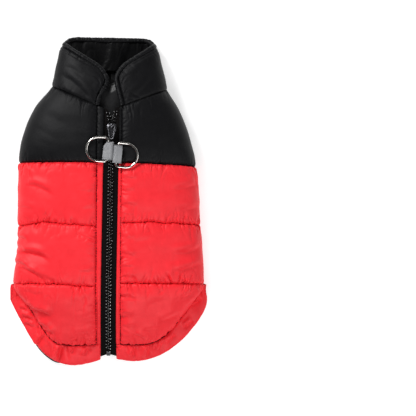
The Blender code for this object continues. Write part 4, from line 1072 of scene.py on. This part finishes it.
middle, high = STATIONS[:, 2:].mean(1, keepdims=True), (STATIONS[:, 2:3] - STATIONS[:, 3:]) / 2
tooth = np.stack(np.broadcast_arrays(STATIONS[:, :1], CORNERS[:, 0] * STATIONS[:, 1:2],
                                     middle + CORNERS[:, 1] * high), -1)
y = np.arange(CHAIN_END, SLIDER_Y - SLIDER_REACH + 2, PITCH / 2)[::-1]
at, across, ahead, up = zip_line(y)
turn = np.where(np.arange(len(y)) % 2 == 0, 1.0, -1.0)[:, None]
chain = repeat("chain_teeth", tooth, at + up * TOOTH_LEVEL, across * turn, ahead * turn, up, tooth_acetal)
stand_for(chain, "zip_chain")
for side, label in SIDES:
    y = np.arange(SLIDER_Y + SLIDER_REACH + 0.6, ROWS_END, PITCH)[::-1] + (PITCH / 2 if side > 0 else 0)
    at, across, ahead, up = zip_line(y)
    at = at + across * side * tape_inner(v_at_zip(y))[:, None] + up * TOOTH_LEVEL
    row = repeat("row_teeth_" + label, tooth, at, across * -side, ahead * -side, up, tooth_acetal)
    stand_for(row, "zip_row_" + label)
print("teeth in the closed chain", len(turn))

# %% [markdown]
# ## Slider, pull tab and bottom stop
#
# The slider is two cast plates with rounded shoulders, held apart by a post between the
# rows of teeth, and a bail on top carries the tab. The tab is an open frame of wire that
# lies down over the zip. The stop is a small block clamped over the last teeth.

# %% Slider and stop
STOP_Y = -153.5
# Width of a plate as a share of its widest, along its length: a slider's, and a plain one's
SHOULDERS = ([-1.0, -0.35, 0.1, 0.55, 1.0], [0.66, 0.70, 0.94, 1.0, 0.86])
PLAIN = ([-1, 1], [1, 1])


def zip_frame(y):
    """Place on the zip's centre line at y, with its across, ahead and up."""
    return [way[1] for way in zip_line(np.array([y + 2, y, y - 2]))]


def cushion_block(name, node, y, centre, half, bevel, outline, material):
    """Rounded plate: a superellipse section across, carried along, its width following the
    outline, with a small notch at its front end."""
    at, across, ahead, up = zip_frame(y)
    s = np.sin(np.linspace(-math.pi / 2, math.pi / 2, 25))[:, None]
    angle = np.linspace(0, 2 * math.pi, 32, endpoint=False)
    wide, tall = (np.sign(c) * np.abs(c) ** 0.45 for c in (np.cos(angle), np.sin(angle)))
    shrink = 1 - bevel * (1 - np.sqrt(np.clip(1 - np.abs(s) ** 8, 0, 1)))
    across_mm = centre[0] + half[0] * np.interp(s, *outline) * shrink * wide
    notch = 1.6 * np.exp(-(across_mm / 1.5) ** 2) * np.clip(s, 0, 1) ** 3
    along_mm = centre[1] + half[1] * s - notch
    up_mm = centre[2] + half[2] * (shrink * tall)
    points = at + across_mm[..., None] * across + along_mm[..., None] * ahead + up_mm[..., None] * up
    stand_for(make_mesh(name, points, *tube_faces(points), material), node)


for name, centre, half, bevel, outline in (("slider_top", (0, 0, 1.75), (4.9, 6.5, 0.85), 0.35, SHOULDERS),
                                           ("slider_under", (0, 0, -3.2), (4.8, 6.5, 0.6), 0.3, SHOULDERS),
                                           ("slider_post", (0, 5.1, -0.6), (1.0, 1.1, 2.2), 0.2, PLAIN)):
    cushion_block(name, "zip_slider", SLIDER_Y, centre, half, bevel, outline, dark_zinc)
at, across, ahead, up = zip_frame(SLIDER_Y)
arch = np.array([(2.3, 2.2), (2.4, 4.0), (2.9, 5.0), (3.7, 5.35), (5.1, 5.35), (5.9, 5.0), (6.4, 4.0),
                 (6.5, 2.2)])
fine = np.linspace(0, len(arch) - 1, 40)
arch = np.stack([np.interp(fine, np.arange(len(arch)), arch[:, k]) for k in range(2)], 1)
centres = at + arch[:, :1] * ahead + arch[:, 1:] * up
side_way = np.tile(across, (len(centres), 1))
bail = sweep("slider_bail", centres, side_way, across_path(centres, side_way), oval(2.2, 0.9, 12), dark_zinc)
stand_for(bail, "zip_slider")
cushion_block("bottom_stop", "zip_stop", STOP_Y, (0, 0, -0.3), (2.2, 3.0, 1.4), 0.4, PLAIN, pale_zinc)
print("slider at y, mm", SLIDER_Y)

# %% Pull tab
TAB_AXIS_Y, TAB_LENGTH, TAB_WIDTH, TAB_TAPER = 73.4, 13.4, 8.0, 0.60
TAB_WIRE, TAB_CORNER, TAB_HEIGHT = 1.5, 1.6, 3.9
at, across, ahead, up = zip_frame(TAB_AXIS_Y)
half = TAB_WIDTH / 2 - TAB_WIRE / 2
# Corners of the frame, and the angle at which each one's arc starts
corners = np.array([(-half, 0.0, 180), (half, 0.0, 90), (half * TAB_TAPER, -TAB_LENGTH, 0),
                    (-half * TAB_TAPER, -TAB_LENGTH, -90)])
angle = np.radians(corners[:, 2:] - np.linspace(0, 90, 8)[None, :])
inward = np.stack([-np.sign(corners[:, 0]), np.where(corners[:, 1] == 0, -1, 1)], -1) * TAB_CORNER
path = np.stack([corners[:, :1] + inward[:, :1] + TAB_CORNER * np.cos(angle),
                 corners[:, 1:2] + inward[:, 1:] + TAB_CORNER * np.sin(angle)], -1).reshape(-1, 2)
centres = at + up * TAB_HEIGHT + path[:, :1] * across + path[:, 1:] * ahead
height = np.tile(up, (len(centres), 1))
tab = sweep("tab_frame", centres, across_path(centres, height, True), height, oval(TAB_WIRE, TAB_WIRE, 14),
            pale_zinc, closed=True, body="tab")
stand_for(tab, "pull_tab")
print("tab frame points", len(centres))

# %% [markdown]
# ## D-rings and their webbing
#
# A leash clips to two steel rings. Each hangs in a loop of grey reflective webbing that
# comes out of its placket seam and is folded round the ring's bar. The webbing is woven
# with fine ribs, stiff enough to keep a round fold, and its cut edges are turned and sewn.

# %% A ring
RING_WIRE, RING_BOW, RING_LEG, RING_CORNER, RING_HEIGHT = 2.4, 11.9, 8.8, 3.0, 54.3
# Middle of each ring's bar, x and y, and its lean in degrees
RINGS_AT = {-1: (-0.2, 49.8, -3.4), 1: (9.0, 45.0, -6.5)}


def ring_place(side, flat):
    """Points of a ring's own plane (away from the zip, along the bar), turned and put at it."""
    angle = math.radians(RINGS_AT[side][2])
    lean = np.array([[math.cos(angle), math.sin(angle)], [-math.sin(angle), math.cos(angle)]])
    return (flat * (side, 1)) @ lean + RINGS_AT[side][:2]


# A D as a closed flat path: bar, corner, bow and corner
bar = RING_BOW - RING_CORNER
straight = np.stack([np.zeros(12), np.linspace(-bar, bar, 12)], 1)
turn = np.linspace(0, math.pi / 2, 9)[1:]
corner = np.stack([RING_CORNER * (1 - np.cos(turn)), bar + RING_CORNER * np.sin(turn)], 1)
bow = np.linspace(math.pi / 2, -math.pi / 2, 60)
bow = np.stack([RING_LEG + RING_BOW * np.cos(bow), RING_BOW * np.sin(bow)], 1)
d_path = np.concatenate([straight, corner, bow, corner[::-1][:-1] * (1, -1)])


def steel_ring(side, label):
    """Round wire carried along the D, level with its bar."""
    centres = np.column_stack([ring_place(side, d_path), np.full(len(d_path), RING_HEIGHT)])
    up = np.tile((0.0, 0.0, 1.0), (len(d_path), 1))
    made = sweep("steel_ring_" + label, centres, across_path(centres, up, True), up,
                 oval(RING_WIRE, RING_WIRE, 20), nickel_wire, closed=True, body="ring_" + label)
    stand_for(made, "d_ring_" + label)


print("points round a ring", len(d_path))

# %% Both rings in their webbing loops
WEBBING_WIDTH, WEBBING_THICK, FOOT_DROP, FOOT_SLANT = 17.8, 1.2, 1.2, 2.4
# Of each loop: x of its foot and of its fold, its shift along the bar, its corner's slant
WEBBING = {-1: (-5.0, 5.7, -0.9, 1.0), 1: (14.4, 5.3, 0.5, 0.15)}
reach = RING_WIRE / 2 + SEAM_GAP
outer = reach + WEBBING_THICK
quarter = np.radians(np.linspace(90, -90, 25))
ramp = np.linspace(0, 1, 14)[:, None]
wide = np.linspace(-1, 1, 40)[:, None]
for side, label in SIDES:
    steel_ring(side, label)
    foot_x, fold_x, shift, slant = WEBBING[side]
    foot, fold = (foot_x - RINGS_AT[side][0]) * side, (fold_x - RINGS_AT[side][0]) * side + outer
    # The loop's section: over the bar from the foot to the fold, round it, and back below
    outside = np.concatenate([(foot, outer - FOOT_DROP) + ramp[:-1] * (fold - foot, FOOT_DROP),
                              np.stack([fold - outer * np.cos(quarter), outer * np.sin(quarter)], 1),
                              (fold, -outer) + ramp[1:] * (foot - fold, 0)])
    bend = np.stack([fold - reach * np.cos(quarter), reach * np.sin(quarter)], 1)[::-1]
    outline = np.concatenate([outside, (foot - FOOT_SLANT, -reach)
                              + ramp[:-1] * (fold - foot + FOOT_SLANT, 0), bend])
    away, level = outline[None, :, 0], outline[None, :, 1]
    edge = 1 - np.abs(wide)
    swell = (0.35 * np.exp(-(edge / 0.07) ** 2) + 0.10 * noise(wide * 4, away / 4, 40)
             - 0.7 * np.exp(-((edge - 0.14) / 0.045) ** 2))
    on_top = (np.arange(len(outline)) < len(outside))[None, :] * (level > -reach)
    cut = slant * (0.5 * (1 + wide) + 2.6 * smooth_step((wide - 0.45) / 0.55))
    across_mm = away - cut * np.clip((away - fold) / (foot - fold), 0, 1)
    along_mm = np.broadcast_to(wide * WEBBING_WIDTH / 2, across_mm.shape)
    flat = ring_place(side, np.stack([across_mm, along_mm + shift], -1))
    points = np.concatenate([flat, (RING_HEIGHT + level + swell * on_top)[..., None]], -1)
    run = run_along(outline)
    made = make_mesh("grey_loop_" + label, points, *tube_faces(points), webbing,
                     np.stack(np.broadcast_arrays(run, along_mm), -1))
    stand_for(made, "webbing_loop_" + label)
    print("webbing of a loop, mm", WEBBING_WIDTH, round(float(run[-1]) / 2, 1))

# %% [markdown]
# ## Seams and stitches
#
# Each stitch is one short capsule of thread that dips into the cloth at both ends. All the
# stitches of a seam are a single mesh: the capsule repeated by arrays along the seam's line.

# %% Stitches
angle = np.linspace(0, 2 * math.pi, 6, endpoint=False)[None, :]
along, fat = np.array([(-1.0, 0.35), (-0.8, 0.85), (0.0, 1.0), (0.8, 0.85), (1.0, 0.35)]).T[..., None]
capsule = np.stack(np.broadcast_arrays(fat * np.cos(angle), along, fat * np.sin(angle) - 0.9 * along**2), -1)


def stitches(name, side, t, v, depth, material, pitch=2.6, thread=0.8, fill=0.85):
    """Stitches along a line of tube places at a depth, evenly spaced along the cloth."""
    side, t, v, depth = (np.asarray(q, float).ravel() for q in np.broadcast_arrays(side, t, v, depth))
    centres = place(side, t, v, depth)
    run = run_along(centres)
    even = np.arange(pitch / 2, run[-1], pitch)
    jitter = 0.12 * pitch * noise(even * 3.1, 0, 41)
    spots = [np.interp(even + jitter, run, q) for q in (side, t, v, depth)]
    spots[0] = np.where(spots[0] < 0, -1.0, 1.0)
    at, up = place(*spots), outward(*spots[:3])
    at[:, 2] = np.maximum(at[:, 2], thread / 2)
    ahead = unit(np.gradient(centres, run, axis=0))
    ahead = unit(np.stack([np.interp(even, run, ahead[:, k]) for k in range(3)], -1))
    size = (thread / 2, pitch * fill / 2, thread / 2)
    repeat(name, capsule * size, at, unit(np.cross(ahead, up)), ahead, up, material)


# These threads are painted darker than their cloth, as painted shade of the seam grooves; the hem's stitches
# nearly close into one dark cord of painted shade
for side, label in SIDES:
    v = np.linspace(1.03, 2.98, 120)
    stitches("topstitch_black_" + label, side, t_from_zip(side, v, PLACKET_EDGE - 0.8), v, 0.15,
             black_thread, pitch=3.0, thread=0.5, fill=0.78)
    v = np.linspace(3.02, 5.97, 160)
    stitches("topstitch_red_" + label, side, t_from_zip(side, v, PLACKET_EDGE - 0.1), v, 0.2, seam_shade_thread)
    for number, first in ((4, 1.5), (5, 1.5), (6, 0.5)):
        ring_v = float(number)
        t = np.linspace(t_from_zip(side, ring_v, PLACKET_EDGE + first), back_edge(side, ring_v) - 0.03, 200)
        if number < 6:
            stitches(f"quilt_stitch_{number}_{label}", side, t, number + seam_wander(side, t, number), 0.9,
                     red_thread, pitch=3.0, thread=0.6, fill=0.78)
        else:
            stitches("hem_stitch_" + label, side, t, ring_v, 0.1 - 0.9 * smooth_step((t - 0.5) / 0.25),
                     seam_shade_thread, thread=0.9, fill=0.95)

# %% [markdown]
# ## Floor, lights and camera
#
# The photograph shows a cut-out on white, lit softly from above and the upper left, so the
# floor is a pale sheet that glows a little, and the shadows are faint. The camera looks
# straight down through a long lens from the height that gives the photograph's scale.

# %% Floor and lights
FLOOR_HALF, FLOOR_DROP = 6, -0.0002


def link(name, data, at=(0, 0, 0)):
    """Object at a place, in metres, in the scene."""
    made = bpy.data.objects.new(name, data)
    bpy.context.scene.collection.objects.link(made)
    made.location = at
    return made


floor_mesh = bpy.data.meshes.new("paper_floor")
floor_mesh.from_pydata([(x * FLOOR_HALF, y * FLOOR_HALF, FLOOR_DROP)
                        for x, y in ((-1, -1), (1, -1), (1, 1), (-1, 1))], [], [(0, 1, 2, 3)])
# Matt white paper: it gives light back evenly, so the eye sees no edge and little shadow
paper = new_material("white_paper_floor", None, Base_Color=linear("#d8d8d8"), Roughness=0.95,
                     Specular_IOR_Level=0.1, Emission_Color=(1, 1, 1, 1), Emission_Strength=0.55)
floor_mesh.materials.append(paper[0])
link("paper_floor", floor_mesh)

# Place, the point it faces, size in metres and watts of each soft square light
for name, at, aim, size, watts in (("key_upper_left", (-0.9, 1.1, 1.0), (0, 0, 0.02), 0.6, 29),
                                   ("fill_right", (1.3, -0.3, 1.2), (0, 0, 0.02), 1.0, 9),
                                   ("fill_low", (0.1, -1.2, 1.5), (0, -0.05, 0.02), 0.9, 19)):
    lamp = bpy.data.lights.new(name, "AREA")
    lamp.size, lamp.energy = size, watts
    gaze = Vector(aim) - Vector(at)
    link(name, lamp, at).rotation_euler = gaze.to_track_quat("-Z", "Y").to_euler()
world = bpy.data.worlds.new("pale_studio")
world.use_nodes = True
background = world.node_tree.nodes["Background"].inputs
background["Color"].default_value, background["Strength"].default_value = (1, 1, 1, 1), 0.11
bpy.context.scene.world = world
bpy.context.scene.view_settings.view_transform = "Standard"
print("world light", background["Strength"].default_value)

# %% Camera
LENS, SENSOR, FRAME_ACROSS = 300.0, 36.0, 0.416
CAMERA_X, CAMERA_Y, SCALE_LEVEL = 0.0995, -0.008, 0.025
lens = bpy.data.cameras.new("above")
lens.lens, lens.sensor_width = LENS, SENSOR
lens.clip_start, lens.clip_end = 0.1, 20
height = SCALE_LEVEL + FRAME_ACROSS * LENS / SENSOR
bpy.context.scene.camera = link("above", lens, (CAMERA_X, CAMERA_Y, height))
